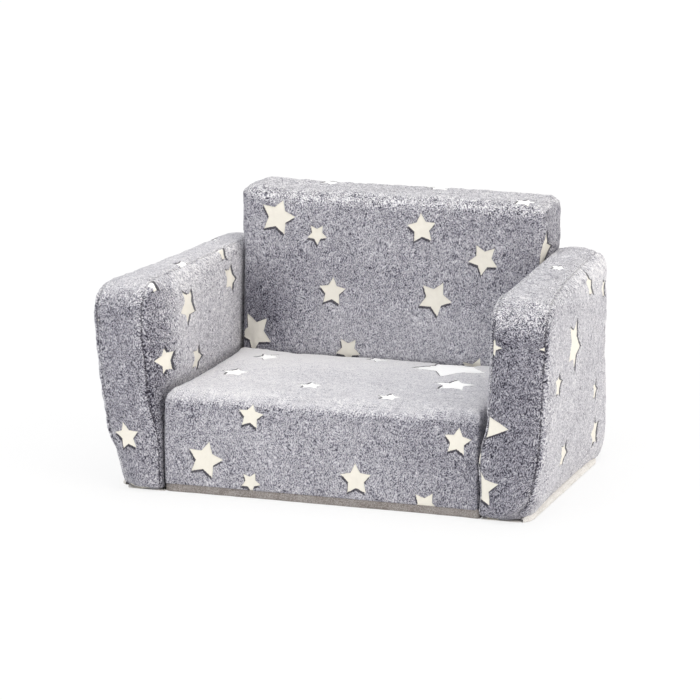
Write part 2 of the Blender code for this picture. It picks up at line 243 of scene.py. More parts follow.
def keep(piece, name, kind, domain, values):
    """Store values on the piece's mesh for its material."""
    field = "vector" if kind == "FLOAT_VECTOR" else "value"
    layer = piece.data.attributes.new(name, kind, domain)
    layer.data.foreach_set(field, np.asarray(values, np.int32 if kind == "INT" else np.float32).ravel())


def kept(piece, name):
    layer = piece.data.attributes[name]
    wide = layer.data_type == "FLOAT_VECTOR"
    kind = np.int32 if layer.data_type == "INT" else np.float32
    values = np.zeros(len(layer.data) * (3 if wide else 1), kind)
    layer.data.foreach_get("vector" if wide else "value", values)
    return values.reshape(-1, 3).astype(float) if wide else values


def unit(vectors):
    return vectors / np.linalg.norm(vectors, axis=1, keepdims=True)


def used_only(points, faces):
    """The points that the faces use, and the faces numbered by them."""
    used = np.unique(faces)
    number = np.zeros(len(points), int)
    number[used] = np.arange(len(used))
    return points[used], number[faces]


def places(mesh):
    values = np.zeros(len(mesh.vertices) * 3, np.float32)
    mesh.vertices.foreach_get("co", values)
    return values.reshape(-1, 3).astype(float)


def outward(mesh):
    values = np.zeros(len(mesh.vertices) * 3, np.float32)
    mesh.vertex_normals.foreach_get("vector", values)
    return values.reshape(-1, 3).astype(float)


def set_places(mesh, points):
    mesh.vertices.foreach_set("co", points.astype(np.float32).ravel())
    mesh.update()


def fill_cover(piece, pinned, resting):
    """Swell the cover from inside, held at its seams, then keep every point near its cut shape."""
    group = piece.vertex_groups.new(name="seams")
    group.add(np.flatnonzero(pinned).tolist(), 1.0, "REPLACE")
    cloth = piece.modifiers.new("filling", "CLOTH")
    cloth.settings.vertex_group_mass = "seams"
    cloth.settings.use_pressure = True
    cloth.settings.uniform_pressure_force = PRESSURE
    cloth.settings.effector_weights.gravity = 0.0
    cloth.settings.shrink_min = CLOTH_SHRINK
    cloth.point_cache.frame_end = FILL_FRAMES
    scene = bpy.context.scene
    for number in range(1, FILL_FRAMES + 1):
        scene.frame_set(number)
    swollen = places(piece.evaluated_get(bpy.context.evaluated_depsgraph_get()).data)
    scene.frame_set(1)
    piece.modifiers.remove(cloth)
    piece.vertex_groups.remove(group)
    cut, out = places(piece.data), outward(piece.data)
    move = swollen - cut
    reach = np.linalg.norm(move, axis=1, keepdims=True)
    move *= FILL_LIMIT * np.tanh(reach / FILL_LIMIT) / np.maximum(reach, TINY)
    rise = np.sum(move * out, axis=1)
    move -= out * (np.maximum(rise, 0) * resting)[:, None]
    set_places(piece.data, cut + move)


def halve(piece):
    """Cut every face of the cover once more, and keep the result as its mesh."""
    piece.modifiers.new("halved", "SUBSURF").levels = 1
    finer = bpy.data.meshes.new_from_object(piece.evaluated_get(bpy.context.evaluated_depsgraph_get()))
    piece.modifiers.clear()
    piece.data = finer


def sew_cover(name, centre, half, sewn, shape, resting):
    """A closed cushion cover with its unbent places kept in `flat`."""
    points, faces, panels = box_grid(half)
    piece = new_piece(name, shape(points.copy(), points) + centre, faces)
    keep(piece, "flat", "FLOAT_VECTOR", "POINT", points)
    keep(piece, "panel", "INT", "FACE", panels)
    piece.data.shade_smooth()
    fill_cover(piece, seam_distance(points, half, sewn) < TINY, resting(points))
    halve(piece)
    return piece


def noise_at(points, size, seed):
    shift = Vector([seed * part for part in NOISE_SHIFT])
    return np.array([noise.noise(Vector(point) + shift) for point in (points / size).tolist()])


# Star print: the axis and the sign that run across and up each panel. A star is listed by its place (across,
# up), the reach of its tips and its clockwise turn in degrees.
PANEL_AXES = {0: ((1, -1), (2, 1)), 1: ((1, 1), (2, 1)), 2: ((0, 1), (2, 1)), 3: ((0, -1), (2, 1)),
              4: ((0, 1), (1, -1)), 5: ((0, 1), (1, 1))}
# The direction of the painted shadow beside the stars on each panel (across, up), and the share of its shift
# by which the pile hides the print
PANEL_STAR_SHADOW = {0: (-1.5, -0.1, 1.0), 1: (1.5, -0.1, 1.0), 2: (-0.3, -0.95, 0.0), 3: (0.3, -0.95, 0.0),
             4: (0.0, -1.0, 0.0), 5: (-0.6, 0.0, 0.5)}
STAR_SIZES = (0.018, 0.022, 0.026, 0.026, 0.031)
STAR_SPACING = 0.084
STAR_TRIES = 400
ARM_SEED = 3
STAR_TURN = 36
SCATTERED_STAR_SHADOW = 0.6


def scattered(half, panel, seed):
    """Stars thrown over a panel of which the photograph shows nothing."""
    draw = random.Random(seed)
    reaches = [half[axis] for axis, _ in PANEL_AXES[panel]]
    found = []
    for _ in range(STAR_TRIES):
        across, up = [draw.uniform(-reach, reach) for reach in reaches]
        near = [1 for star in found if math.hypot(star[0] - across, star[1] - up) < STAR_SPACING]
        if not near:
            found.append((across, up, draw.choice(STAR_SIZES), draw.uniform(-STAR_TURN, STAR_TURN)))
    return found


def star_distance(across, up, reach):
    """Signed distance to the edge of a star whose tip points up, negative inside."""
    angle = np.abs((np.arctan2(across, up) + FIFTH / 2) % FIFTH - FIFTH / 2)
    radius = np.hypot(across, up)
    waist_x, waist_y = STAR_WAIST * math.cos(FIFTH / 2) - 1, STAR_WAIST * math.sin(FIFTH / 2)
    edge = math.hypot(waist_x, waist_y)
    return (waist_y * (radius * np.cos(angle) - reach) - waist_x * radius * np.sin(angle)) / edge


def print_stars(piece, centre, half, stars, seed):
    """Give each face corner its place in the nearest star's own frame and the direction of its painted
    shadow, and return the print's depth.
    """
    mesh = piece.data
    flat, panels = kept(piece, "flat"), kept(piece, "panel")
    corner_points = np.zeros(len(mesh.loops), np.int32)
    mesh.loops.foreach_get("vertex_index", corner_points)
    corners = flat[corner_points].reshape(-1, 4, 3)
    middles = corners.mean(axis=1)
    place = np.zeros((len(panels), 4, 3))
    place[:, :, 2] = STAR_SIZES[0]
    place[:, :, 0] = 1.0
    shadow_offset = np.zeros((len(panels), 4, 3))
    depth = np.full(len(flat), FAR)
    for panel, axes in PANEL_AXES.items():
        own = np.flatnonzero(panels == panel)
        listed, shadow_share = stars.get(panel), 1.0
        if listed is None:
            listed, shadow_share = scattered(half, panel, seed + panel), SCATTERED_STAR_SHADOW
        else:
            listed = [(x - centre[axes[0][0]] * axes[0][1], y - centre[axes[1][0]] * axes[1][1], reach, turn)
                      for x, y, reach, turn in listed]
        if not listed or not len(own):
            continue
        across, up = [sign * middles[own, axis] for axis, sign in axes]
        away = np.array([np.hypot(across - star[0], up - star[1]) / star[2] for star in listed])
        nearest = away.argmin(axis=0)
        for number, (x, y, reach, turn) in enumerate(listed):
            faces = own[nearest == number]
            cosine, sine = math.cos(math.radians(turn)), math.sin(math.radians(turn))
            (first, first_sign), (second, second_sign) = axes
            dx = first_sign * corners[faces, :, first] - x
            dy = second_sign * corners[faces, :, second] - y
            turned = (dx * cosine - dy * sine, dx * sine + dy * cosine)
            place[faces] = np.stack((*turned, np.full(dx.shape, reach)), -1)
            # The painted shadow's direction, turned with the star
            shadow_x, shadow_y, hiding = [share * shadow_share for share in PANEL_STAR_SHADOW[panel]]
            shadow_offset[faces] = (shadow_x * cosine - shadow_y * sine, shadow_x * sine + shadow_y * cosine, hiding)
            ids = corner_points.reshape(-1, 4)[faces].ravel()
            np.minimum.at(depth, ids, star_distance(*turned, reach).ravel())
    keep(piece, "star_place", "FLOAT_VECTOR", "CORNER", place)
    keep(piece, "star_nap", "FLOAT_VECTOR", "CORNER", shadow_offset)
    return depth


def lay_pile(piece, seam, lies, ruffles, pressed, seed):
    """How pale and how ruffled the pile is: paler on tops and darker on fronts, partly from how the pile is
    laid and partly as painted light and shade, and darker where it opens over bends.
    """
    flat, normals = kept(piece, "flat"), outward(piece.data)
    up, across = normals[:, 2], normals[:, 0]
    on_left, on_right = smooth(-across, *SIDE_FACING), smooth(across, *SIDE_FACING)
    front, left, right, top = lies
    # Paler tops and darker fronts: partly the pile's set, partly painted light and shade
    lie = front + (left - front) * on_left + (right - front) * on_right
    lie += (top - lie) * smooth(up, *TOP_FACING)
    lie -= BEND_OPENING * np.exp(-((up - OPEN_BEND) / OPEN_BEND_WIDTH) ** 2)
    # Paler and darker patches, among them painted light and shade
    if pressed:
        lie += pressed(flat, across)
    lie += LIE_WANDER * noise_at(flat, LIE_WANDER_SIZE, seed + 5)
    keep(piece, "lie", "FLOAT", "POINT", lie)
    left_ruffle, right_ruffle, top_ruffle = ruffles
    ruffle = left_ruffle * on_left + right_ruffle * on_right + top_ruffle * smooth(up, *RUFFLED_TOP_FACING)
    ruffle += RUFFLE_GAIN * np.exp(-((up - RUFFLED_BEND) / RUFFLED_BEND_WIDTH) ** 2)
    ruffle += RUFFLE_GAIN * (1 - on_left) * (1 - on_right) * np.exp(-(seam / RUFFLE_REACH) ** 2)
    keep(piece, "ruffle", "FLOAT", "POINT", ruffle)
    keep(piece, "topside", "FLOAT", "POINT", smooth(up, *TOPSIDE_FACING))
    keep(piece, "seam", "FLOAT", "POINT", seam)


def matted(star):
    """How far the ink has matted the pile: 1 inside a star, 0 outside it."""
    return np.clip(0.5 - star / STAR_EDGE, 0, 1)


def raise_pile(piece, centre, half, sewn, stars, resting, lies, seed):
    """Groove the seams, wave and clump the pile, and lay it flat under the stars."""
    flat = kept(piece, "flat")
    seam = seam_distance(flat, half, sewn)
    lay_pile(piece, seam, *lies, seed)
    star = print_stars(piece, centre, half, stars, seed)
    rests = resting(flat)
    lift = WAVE_DEPTH * noise_at(flat, WAVE_SIZE, seed) * np.clip(seam / WAVE_FADE, 0, 1)
    lift += PUCKER_DEPTH * noise_at(flat, PUCKER_SIZE, seed + 1) * np.exp(-seam / PUCKER_REACH)
    lift += CLUMP_DEPTH * noise_at(flat, CLUMP_SIZE, seed + 2)
    lift -= SEAM_DEPTH * np.exp(-(seam / SEAM_REACH) ** 2)
    lift -= STAR_DEPTH * matted(star)
    lift -= np.maximum(lift, 0) * rests
    set_places(piece.data, places(piece.data) + outward(piece.data) * lift[:, None])
    keep(piece, "place", "FLOAT_VECTOR", "POINT", flat + centre)


def turn(distance, radius):
    """How far along a quarter turn each point is, as sine, and how much nearer the border it is drawn."""
    angle = np.clip(distance / radius, 0, 1) * math.pi / 2
    return np.sin(angle), np.clip(distance, 0, radius) - radius * (1 - np.cos(angle))


def arm_shape(side):
    half = np.array((ARM_THICKNESS, BODY_REAR - ARM_FRONT, ARM_HEIGHT - FOOT_LEVEL)) / 2
    lip_top = ARM_LIP - half[2]

    def shape(points, flat):
        out = side * flat[:, 0] / half[0]
        ends, top, foot = half[1] - np.abs(flat[:, 1]), half[2] - flat[:, 2], half[2] + flat[:, 2]
        ahead = (half[1] - flat[:, 1]) / (2 * half[1])
        outer_roll = ARM_OUTER_ROLLS[1] + (ARM_OUTER_ROLLS[0] - ARM_OUTER_ROLLS[1]) * smooth(ahead, 0.5, 1.0)
        shown = smooth(flat[:, 2] + half[2], *BURIED_LEVELS)
        inner_roll = BURIED_ROLL + (ARM_INNER_ROLL[side] - BURIED_ROLL) * shown
        roll = np.where(out > 0, outer_roll, inner_roll)
        (end_turn, end_draw), (top_turn, top_draw) = turn(ends, roll), turn(top, roll)
        foot_turn, foot_draw = turn(foot, ARM_FOOT_RADIUS)
        inset = roll * (1 - end_turn * top_turn) + ARM_FOOT_RADIUS * (1 - foot_turn) * end_turn * top_turn
        points[:, 0] *= 1 - inset / half[0]
        on_side = out ** SIDE_SHARPNESS
        points[:, 1] += np.sign(flat[:, 1]) * end_draw * on_side
        points[:, 2] += (top_draw - foot_draw) * on_side

        level = flat[:, 2] + half[2] + FOOT_LEVEL
        wide = bulge(flat[:, 1], half[1]) * bulge(flat[:, 2], half[2])
        outer = np.clip(out, 0, 1) ** SIDE_SHARPNESS
        points[:, 0] += side * outer * (ARM_SIDE_CROWN * wide ** 0.5)
        across = bulge(flat[:, 0], half[0])
        points[:, 1] -= ARM_STRIP_CROWN * across * np.clip(1 - (flat[:, 1] + half[1]) / CROWN_FADE, 0, 1)
        points[:, 2] += ARM_STRIP_CROWN * across * np.clip(1 - top / CROWN_FADE, 0, 1)
        lift, tip = ARM_TOP_SET[side]
        rise = (flat[:, 2] + half[2]) / (2 * half[2])
        lifted = rise ** 3 * (lift * (1.0 - TOP_LIFT_FADE * ahead) + tip * (out + 1) / 2)
        for sides, radius in (((-1, 1), ARM_FRONT_TURN[side]), *ARM_CORNERS):
            round_corner(points, half, (1, 2), sides, radius)
        planned = points.copy()
        round_corner(planned, half, (0, 1), (side, -1), FOOT_CORNER)
        share = 1 - smooth(level, 0.0, FOOT_CORNER_TOP)
        points += (planned - points) * share[:, None]
        beside_corner = np.hypot(half[0] - side * flat[:, 0], half[1] + flat[:, 1]) / FOOT_LIFT_REACH
        low = 1 - smooth(level, 0.0, FOOT_LIFT_TOP)
        points[:, 2] += lifted + FOOT_LIFT * np.exp(-beside_corner ** 2) * low

        height = points[:, 2] + half[2] + FOOT_LEVEL
        forward = (half[1] - points[:, 1]) / (2 * half[1])
        outward_share = np.clip((half[0] + side * points[:, 0]) / (2 * half[0]), 0, 1)
        rise = np.clip((points[:, 2] - lip_top) / (half[2] - lip_top), 0, None)
        foot = (1 - rise) ** 2
        foot += FOOT_TUCK[side] * (1 - smooth(level, 0.0, FOOT_TUCK_TOP) - foot)
        outer_lean = ARM_LEAN * (1 - foot) - ARM_FOOT_DRAW * foot
        (low_lean, high_lean), sewn_lean = ARM_FREE_LEANS[side], ARM_SEWN_LEAN[side]
        seam_lean = (low_lean - sewn_lean) * smooth(height, LEAN_START, LEAN_END)
        seam_lean += high_lean * smooth(height, LEAN_END, LEAN_TOP)
        near = np.minimum((half[1] + flat[:, 1]) / FILL_REACHES[0], top / FILL_REACHES[1])
        filled = np.clip(-out, 0, 1) ** FILL_SHARPNESS * np.sin(np.clip(near, 0, 1) * math.pi / 2)
        over = ARM_OVERHANG[side] * smooth(level, *OVERHANG_LEVELS)
        over = over * smooth(BESIDE_BACK - flat[:, 1], 0.0, OVERHANG_FADE)
        inner_lean = sewn_lean + seam_lean * (1 - filled * ARM_INNER_FILL[side]) - filled * over
        points[:, 0] += side * (inner_lean + (outer_lean - inner_lean) * outward_share) * forward
        pulled = (1 - outward_share) ** 3 * (1 - smooth(height, *PULL_LEVELS)) * smooth(forward, *PULL_SHARE)
        points[:, 1] += SEWN_PULL * pulled
        return points
    return half, shape


ZIP_SUNK = 0.0024
ZIP_FOLD = 0.008


def zip_run(name):
    """The axes that a cover's zip faces, runs along and lies across, and its middle and half sizes."""
    low, high = [np.array(corner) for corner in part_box(name + "_zip_tape")]
    facing, across, along = [int(axis) for axis in np.argsort(high - low)]
    return facing, along, across, (low + high) / 2, (high - low) / 2


def sink_zip(piece, name, centre, half):
    """Fold the cover in along its zip, so that the tape lies in the open fold."""
    facing, along, across, middle, reach = zip_run(name)
    side = 1 if middle[facing] > centre[facing] else -1
    flat, points = kept(piece, "flat"), places(piece.data)
    beside = np.abs(flat[:, across] + centre[across] - middle[across]) - reach[across]
    beyond = np.abs(flat[:, along] + centre[along] - middle[along]) - reach[along]
    share = (1 - smooth(beside, 0.0, ZIP_FOLD)) * (1 - smooth(beyond, 0.0, ZIP_FOLD))
    share *= np.abs(flat[:, facing] - side * half[facing]) < TINY
    face = centre[facing] + side * (half[facing] - ZIP_SUNK)
    points[:, facing] += (face - points[:, facing]) * share
    set_places(piece.data, points)


INNER_RISE, INNER_START = 4, 2.6
SEAT_REST_LEVEL = 0.172
REST_FADE = 0.012
FLOOR_REST_LEVEL = 0.008
FLOOR_REST_FADE = 0.004


def arm_resting(side, half):
    """1 where the arm lies on the seat, the back or the floor."""
    def resting(flat):
        inner = np.clip((0.5 - side * flat[:, 0] / half[0] / 2) * INNER_RISE - INNER_START, 0, 1)
        low = np.clip((SEAT_REST_LEVEL - half[2] - FOOT_LEVEL - flat[:, 2]) / REST_FADE, 0, 1)
        behind = np.clip((flat[:, 1] - BESIDE_BACK) / REST_FADE, 0, 1)
        floor = np.clip((FLOOR_REST_LEVEL - half[2] - flat[:, 2]) / FLOOR_REST_FADE, 0, 1)
        return np.maximum(inner * np.maximum(low, behind), floor)
    return resting


# Where the arms' pile is painted paler or darker, from none to full, and by how much: painted light towards
# the tops, painted shade beside the front seams, and paler low on the front strip
SIDE_START = (0.35, 0.8)
INNER_SEAM, INNER_TOP = (0.012, 0.105), (-0.03, 0.14)
INNER_TOP_PAINTED_LIGHT, INNER_SEAM_PAINTED_SHADE = 0.20, 1.0
OUTER_SEAM, OUTER_TOP, OUTER_REAR = (0.004, 0.03), (0.105, 0.160), (-0.12, 0.12)
OUTER_TOP_PAINTED_HIGHLIGHT, OUTER_SEAM_PAINTED_SHADE = 0.50, 0.10
STRIP_FRONT, STRIP_TOP = (0.18, 0.20), (-0.13, -0.06)
STRIP_LOW_PALER = 0.10


def painted_light_and_shade_inside(flat, across):
    """The left arm's inner side: painted shade beside its front seam, and painted light towards its top."""
    inner = smooth(across, *SIDE_START)
    beside_seam = 1 - smooth(flat[:, 1] + (BODY_REAR - ARM_FRONT) / 2, *INNER_SEAM)
    return inner * (INNER_TOP_PAINTED_LIGHT * smooth(flat[:, 2], *INNER_TOP) - INNER_SEAM_PAINTED_SHADE * beside_seam)


def painted_light_and_shade_outside(flat, across):
    """The right arm's outer side, with a painted highlight along its top bend and painted shade beside its
    front seam, and its front strip, paler low down.
    """
    outer = smooth(across, *SIDE_START)
    strip = smooth(-flat[:, 1], *STRIP_FRONT) * (1 - outer) * (1 - smooth(flat[:, 2], *STRIP_TOP))
    top = smooth(flat[:, 2], *OUTER_TOP) * smooth(flat[:, 1], *OUTER_REAR)
    beside_seam = 1 - smooth(flat[:, 1] + (BODY_REAR - ARM_FRONT) / 2, *OUTER_SEAM)
    return outer * (OUTER_TOP_PAINTED_HIGHLIGHT * top - OUTER_SEAM_PAINTED_SHADE * beside_seam) + STRIP_LOW_PALER * strip


# How pale the pile is, partly from how it is laid and partly as painted light and shade (front and rear,
# left, right, top), and how ruffled it is (left, right, top)
ARM_LIES_AND_LIGHT = {"left_arm": ((0.10, 0.80, 0.71, 0.90), (0.4, 0.75, 0.60), painted_light_and_shade_inside),
            "right_arm": ((-0.18, 0.42, 0.76, 0.72), (0.6, 0.50, 1.20), painted_light_and_shade_outside)}
ARM_STARS = {
    "left_arm": {
        1: [(-0.1150, 0.2867, 0.0360, -29), (-0.1940, 0.2109, 0.0270, -10), (0.0850, 0.2952, 0.0275, 30),
            (-0.0785, 0.1908, 0.0260, 20), (-0.2105, 0.3400, 0.0140, 8), (0.0789, 0.3400, 0.0180, 8),
            (0.195, 0.140, 0.0240, 0)],
        2: [(-0.3168, 0.0926, 0.0235, -6), (-0.3635, 0.2837, 0.0180, 18)],
        5: [(-0.2658, -0.0649, 0.0200, 25), (-0.330, 0.150, 0.0240, 15)],
    },
    "right_arm": {
        0: [(0.226, 0.103, 0.0190, 8), (0.120, 0.262, 0.0260, -12), (0.010, 0.292, 0.0200, 25),
            (-0.060, 0.235, 0.0240, 5), (0.175, 0.205, 0.0220, 30)],
        1: [(-0.0633, 0.2526, 0.0480, 32), (-0.1720, 0.2122, 0.0235, 10), (0.1130, 0.1380, 0.0210, 20),
            (0.1225, 0.0642, 0.0310, -10), (-0.1030, 0.0841, 0.0280, 25), (0.0810, 0.3193, 0.0220, 5),
            (0.1790, 0.2924, 0.0220, -8)],
        2: [(0.2631, 0.0548, 0.0326, 0), (0.2425, 0.1535, 0.0570, 18), (0.2640, 0.2808, 0.0175, 18),
            (0.3590, 0.2850, 0.0175, -18)],
        5: [(0.3090, 0.0371, 0.0175, 12)],
    },
}


class Value:
    """A node's socket, with the maths that the finishes use."""

    def __init__(self, finish, socket):
        self.finish = finish
        self.socket = socket

    def maths(self, operation, first, second=None, clamp=False):
        values = {0: first} if second is None else {0: first, 1: second}
        return self.finish.node("ShaderNodeMath", {"operation": operation, "use_clamp": clamp}, values)

    def __add__(self, other):
        return self.maths("ADD", self, other)

    def __radd__(self, other):
        return self.maths("ADD", other, self)

    def __sub__(self, other):
        return self.maths("SUBTRACT", self, other)

    def __rsub__(self, other):
        return self.maths("SUBTRACT", other, self)

    def __mul__(self, other):
        return self.maths("MULTIPLY", self, other)

    def __rmul__(self, other):
        return self.maths("MULTIPLY", other, self)

    def __truediv__(self, other):
        return self.maths("DIVIDE", self, other)

    def abs(self):
        return self.maths("ABSOLUTE", self)

    def apply(self, operation, other=None):
        return self.maths(operation, self, other)

    def step(self, low, high):
        """0 below low and 1 above high, smoothly between. It falls where low is above high."""
        return self.finish.node("ShaderNodeMapRange", {"interpolation_type": "SMOOTHSTEP"},
                                {"Value": self, "From Min": low, "From Max": high})


class Finish:
    """A material and the nodes that make it."""

    def __init__(self, name):
        self.material = bpy.data.materials.new(name)
        self.material.use_nodes = True
        self.tree = self.material.node_tree
        self.shader = self.tree.nodes["Principled BSDF"]

    def node(self, kind, settings, values, output=0):
        made = self.tree.nodes.new(kind)
        for name, setting in settings.items():
            if name == "stops":
                ramp = made.color_ramp
                while len(ramp.elements) < len(setting):
                    ramp.elements.new(0.5)
                for element, (position, stop) in zip(ramp.elements, setting):
                    element.position, element.color = position, stop
            else:
                setattr(made, name, setting)
        for name, value in values.items():
            self.feed(made.inputs[name], value)
        return Value(self, made.outputs[output])

    def feed(self, socket, value):
        if isinstance(value, Value):
            self.tree.links.new(value.socket, socket)
        else:
            socket.default_value = value

    def set(self, **values):
        for name, value in values.items():
            self.feed(self.shader.inputs[name.replace("_", " ")], value)

    def attribute(self, name, output="Vector"):
        return self.node("ShaderNodeAttribute", {"attribute_name": name}, {}, output)

    def parts(self, vector):
        return [self.node("ShaderNodeSeparateXYZ", {}, {0: vector}, output) for output in range(3)]

    def vector(self, operation, *values):
        return self.node("ShaderNodeVectorMath", {"operation": operation}, dict(enumerate(values)))

    def noise(self, place, scale, detail=2.0, roughness=0.5, distortion=0.0):
        return self.node("ShaderNodeTexNoise", {}, {"Vector": place, "Scale": scale, "Detail": detail,
                                                    "Roughness": roughness, "Distortion": distortion})

    def mix(self, share, first, second):
        return self.node("ShaderNodeMix", {"data_type": "RGBA"}, {"Factor": share, 6: first, 7: second}, 2)

    def bump(self, height, strength, distance):
        return self.node("ShaderNodeBump", {}, {"Height": height, "Strength": strength, "Distance": distance})

    def give(self, piece, slot=None):
        piece.data.materials.clear()
        piece.data.materials.append(self.material)


def tint(red, green, blue):
    """A colour as it is seen, from 0 to 255, as the shader's own linear one."""
    shares = [value / 255 for value in (red, green, blue)]
    linear = [share / 12.92 if share < 0.04045 else ((share + 0.055) / 1.055) ** 2.4 for share in shares]
    return (*linear, 1.0)


# Plush: dark roots with pale tips in clumps lying along the nap, and stars whose ink mats the pile flat, each
# with a painted shadow beside it.
# The pile's paleness is partly painted light and shade, and the stars on tops are painted whiter and faintly
# emissive as painted light.
PILE_COLOURS = [(0.0, tint(40, 39, 50)), (0.4, tint(139, 138, 149)), (0.8, tint(209, 208, 214)),
                (1.0, tint(240, 239, 240))]
# The grey of the seams and of the painted shadow beside the stars
SEAM_AND_SHADOW_GREY = tint(54, 52, 60)
STAR_INK = tint(243, 239, 228)
STAR_RIB = 0.0022
SWIRL_SCALE = 26.0
SWIRL_REACH = 0.024
STROKE_SCALE = (560.0, 560.0, 360.0)
CLUMP_SCALE = 95.0
FIBRE_SCALE = 700.0
STROKE_SHARE, CLUMP_SHARE, FIBRE_SHARE = 2.2, 0.6, 0.7
DEPTH_SKEW, DEPTH_SHIFT = 0.2, 0.04
LEAST_LIE = 0.3
LIE_CALM, RUFFLE_CONTRAST = 0.5, 0.45
LIE_PALENESS, PILE_PALENESS = 0.40, 0.40
SEAM_EDGES, SEAM_RAGGED = (0.0024, 0.0006), 0.005
PRINT_RAGGED_BY_FIBRE, PRINT_RAGGED_BY_STROKE = 0.0014, 0.0016
PRINT_EDGES = (0.0003, -0.0003)
CAST_EDGES, CAST_SHADE = (0.0008, -0.0005), 0.85
# Painted light: the star ink on tops is whiter, and those stars get a faint painted emission
TOP_INK_PAINTED_LIGHT, WORN_INK = tint(254, 254, 253), tint(218, 211, 201)
TOP_STAR_PAINTED_GLOW = 0.17
PILE_BUMP_STRENGTH, PILE_BUMP_DEPTH = 0.9, 0.0026


def star_mask(across, up, reach):
    """Signed distance to the star's edge, as star_distance gives it."""
    angle = across.apply("ARCTAN2", up) + FIFTH / 2 + 2 * FIFTH * 5
    angle = (angle.apply("MODULO", FIFTH) - FIFTH / 2).abs()
    radius = (across * across + up * up).apply("SQRT")
    waist_x, waist_y = STAR_WAIST * math.cos(FIFTH / 2) - 1, STAR_WAIST * math.sin(FIFTH / 2)
    edge = math.hypot(waist_x, waist_y)
    forth = radius * angle.apply("COSINE") - reach
    return forth * (waist_y / edge) - radius * angle.apply("SINE") * (waist_x / edge)


def make_plush(name):
    """Pile with dark roots where it opens, seams, and stars with the pile over their edges and a painted
    shadow beside them.
    """
    plush = Finish(name)
    place = plush.attribute("place")
    # The pile's paleness, with painted light and shade in it
    lie = plush.attribute("lie", "Fac")
    swirl = plush.node("ShaderNodeTexNoise", {}, {"Vector": place, "Scale": SWIRL_SCALE, "Detail": 1.0},
                       "Color")
    swirled = plush.vector("MULTIPLY_ADD", swirl, (SWIRL_REACH,) * 3, place)
    stroke = plush.noise(plush.vector("MULTIPLY", swirled, STROKE_SCALE), 1.0, 1.5, 0.6)
    clump = plush.noise(swirled, CLUMP_SCALE, 2.0, 0.6)
    fibre = plush.noise(place, FIBRE_SCALE, 1.0)
    depth = (stroke - 0.5) * STROKE_SHARE + (clump - 0.5) * CLUMP_SHARE + (fibre - 0.5) * FIBRE_SHARE
    depth = depth - depth.abs() * DEPTH_SKEW + DEPTH_SHIFT
    contrast = 1.0 - lie.apply("MAXIMUM", LEAST_LIE) * LIE_CALM
    contrast = contrast + plush.attribute("ruffle", "Fac") * RUFFLE_CONTRAST
    pile = lie * LIE_PALENESS + PILE_PALENESS + depth * contrast
    colour = plush.node("ShaderNodeValToRGB", {"stops": PILE_COLOURS}, {"Fac": pile})
    seam = plush.attribute("seam", "Fac")
    stitched = (seam + (stroke - 0.5) * SEAM_RAGGED).step(*SEAM_EDGES)
    stitched = stitched * (clump.step(0.36, 0.56) * 0.7 + 0.3)
    colour = plush.mix(stitched * (0.70 - lie * 0.40), colour, SEAM_AND_SHADOW_GREY)
    height = stroke * 0.75 + clump * 0.4 + fibre * 0.1
    across, up, reach = plush.parts(plush.attribute("star_place"))
    shadow_across, shadow_up, hiding = plush.parts(plush.attribute("star_nap"))
    ragged = (fibre - 0.5) * PRINT_RAGGED_BY_FIBRE + (stroke - 0.5) * PRINT_RAGGED_BY_STROKE
    hidden = hiding * STAR_SHADOW_SHIFT
    shaded = STAR_SHADOW_SHIFT - hidden
    print_edge = star_mask(across, up, reach) + ragged
    near_edge = star_mask(across + shadow_across * hidden, up + shadow_up * hidden, reach) + ragged
    far_edge = star_mask(across - shadow_across * shaded, up - shadow_up * shaded, reach) + ragged
    inside = print_edge.apply("MAXIMUM", near_edge).step(*PRINT_EDGES)
    # Painted shadow: a dark band beside each star where its shifted copy reaches past the print
    cast = print_edge.apply("MINIMUM", far_edge).step(*CAST_EDGES)
    colour = plush.mix(cast * CAST_SHADE, colour, SEAM_AND_SHADOW_GREY)
    along, forth, _ = plush.parts(place)
    ribs = ((along + forth) * (2 * math.pi / STAR_RIB)).apply("SINE") * 0.5 + 0.5
    topside = plush.attribute("topside", "Fac")
    # Stars on tops are painted whiter and less mottled, as painted light
    ink = plush.mix(topside, STAR_INK, TOP_INK_PAINTED_LIGHT)
    inked = plush.mix((ribs * 0.2 + (clump - 0.45) * 0.45) * (1 - topside * 0.8), ink, WORN_INK)
    colour = plush.mix(inside, colour, inked)
    # Painted light: a faint emission on the stars on tops
    painted_glow = plush.mix(inside * topside * TOP_STAR_PAINTED_GLOW, tint(0, 0, 0), tint(255, 255, 255))
    plush.set(Emission_Color=painted_glow, Emission_Strength=1.0)
    height = height * (1 - inside * 0.8) + ribs * inside * 0.05
    normal = plush.bump(height, PILE_BUMP_STRENGTH, PILE_BUMP_DEPTH)
    plush.set(Base_Color=colour, Roughness=0.95, Normal=normal)
    plush.set(Sheen_Weight=0.25, Sheen_Roughness=0.4, Sheen_Tint=tint(240, 240, 244), Specular_IOR_Level=0.1)
    return plush


starry_plush = make_plush("starry_plush")

for arm_name, side in (("left_arm", -1), ("right_arm", 1)):
    arm_half, arm_bend = arm_shape(side)
    arm_centre = np.array((side * (SEAT_HALF_WIDTH + SEWN_GAP + arm_half[0]), (ARM_FRONT + BODY_REAR) / 2,
                           FOOT_LEVEL + arm_half[2]))
    arm_seams = ((0, -1), (0, 1))
    arm_rests = arm_resting(side, arm_half)
    arm = sew_cover(arm_name + "_cushion", arm_centre, arm_half, arm_seams, arm_bend, arm_rests)
    raise_pile(arm, arm_centre, arm_half, arm_seams, ARM_STARS[arm_name], arm_rests, ARM_LIES_AND_LIGHT[arm_name],
               ARM_SEED + side)
    sink_zip(arm, arm_name, arm_centre, arm_half)
    starry_plush.give(arm, "plush")
    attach(arm, "sofa_body")
    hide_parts(arm_name + "_cover", arm_name + "_core")


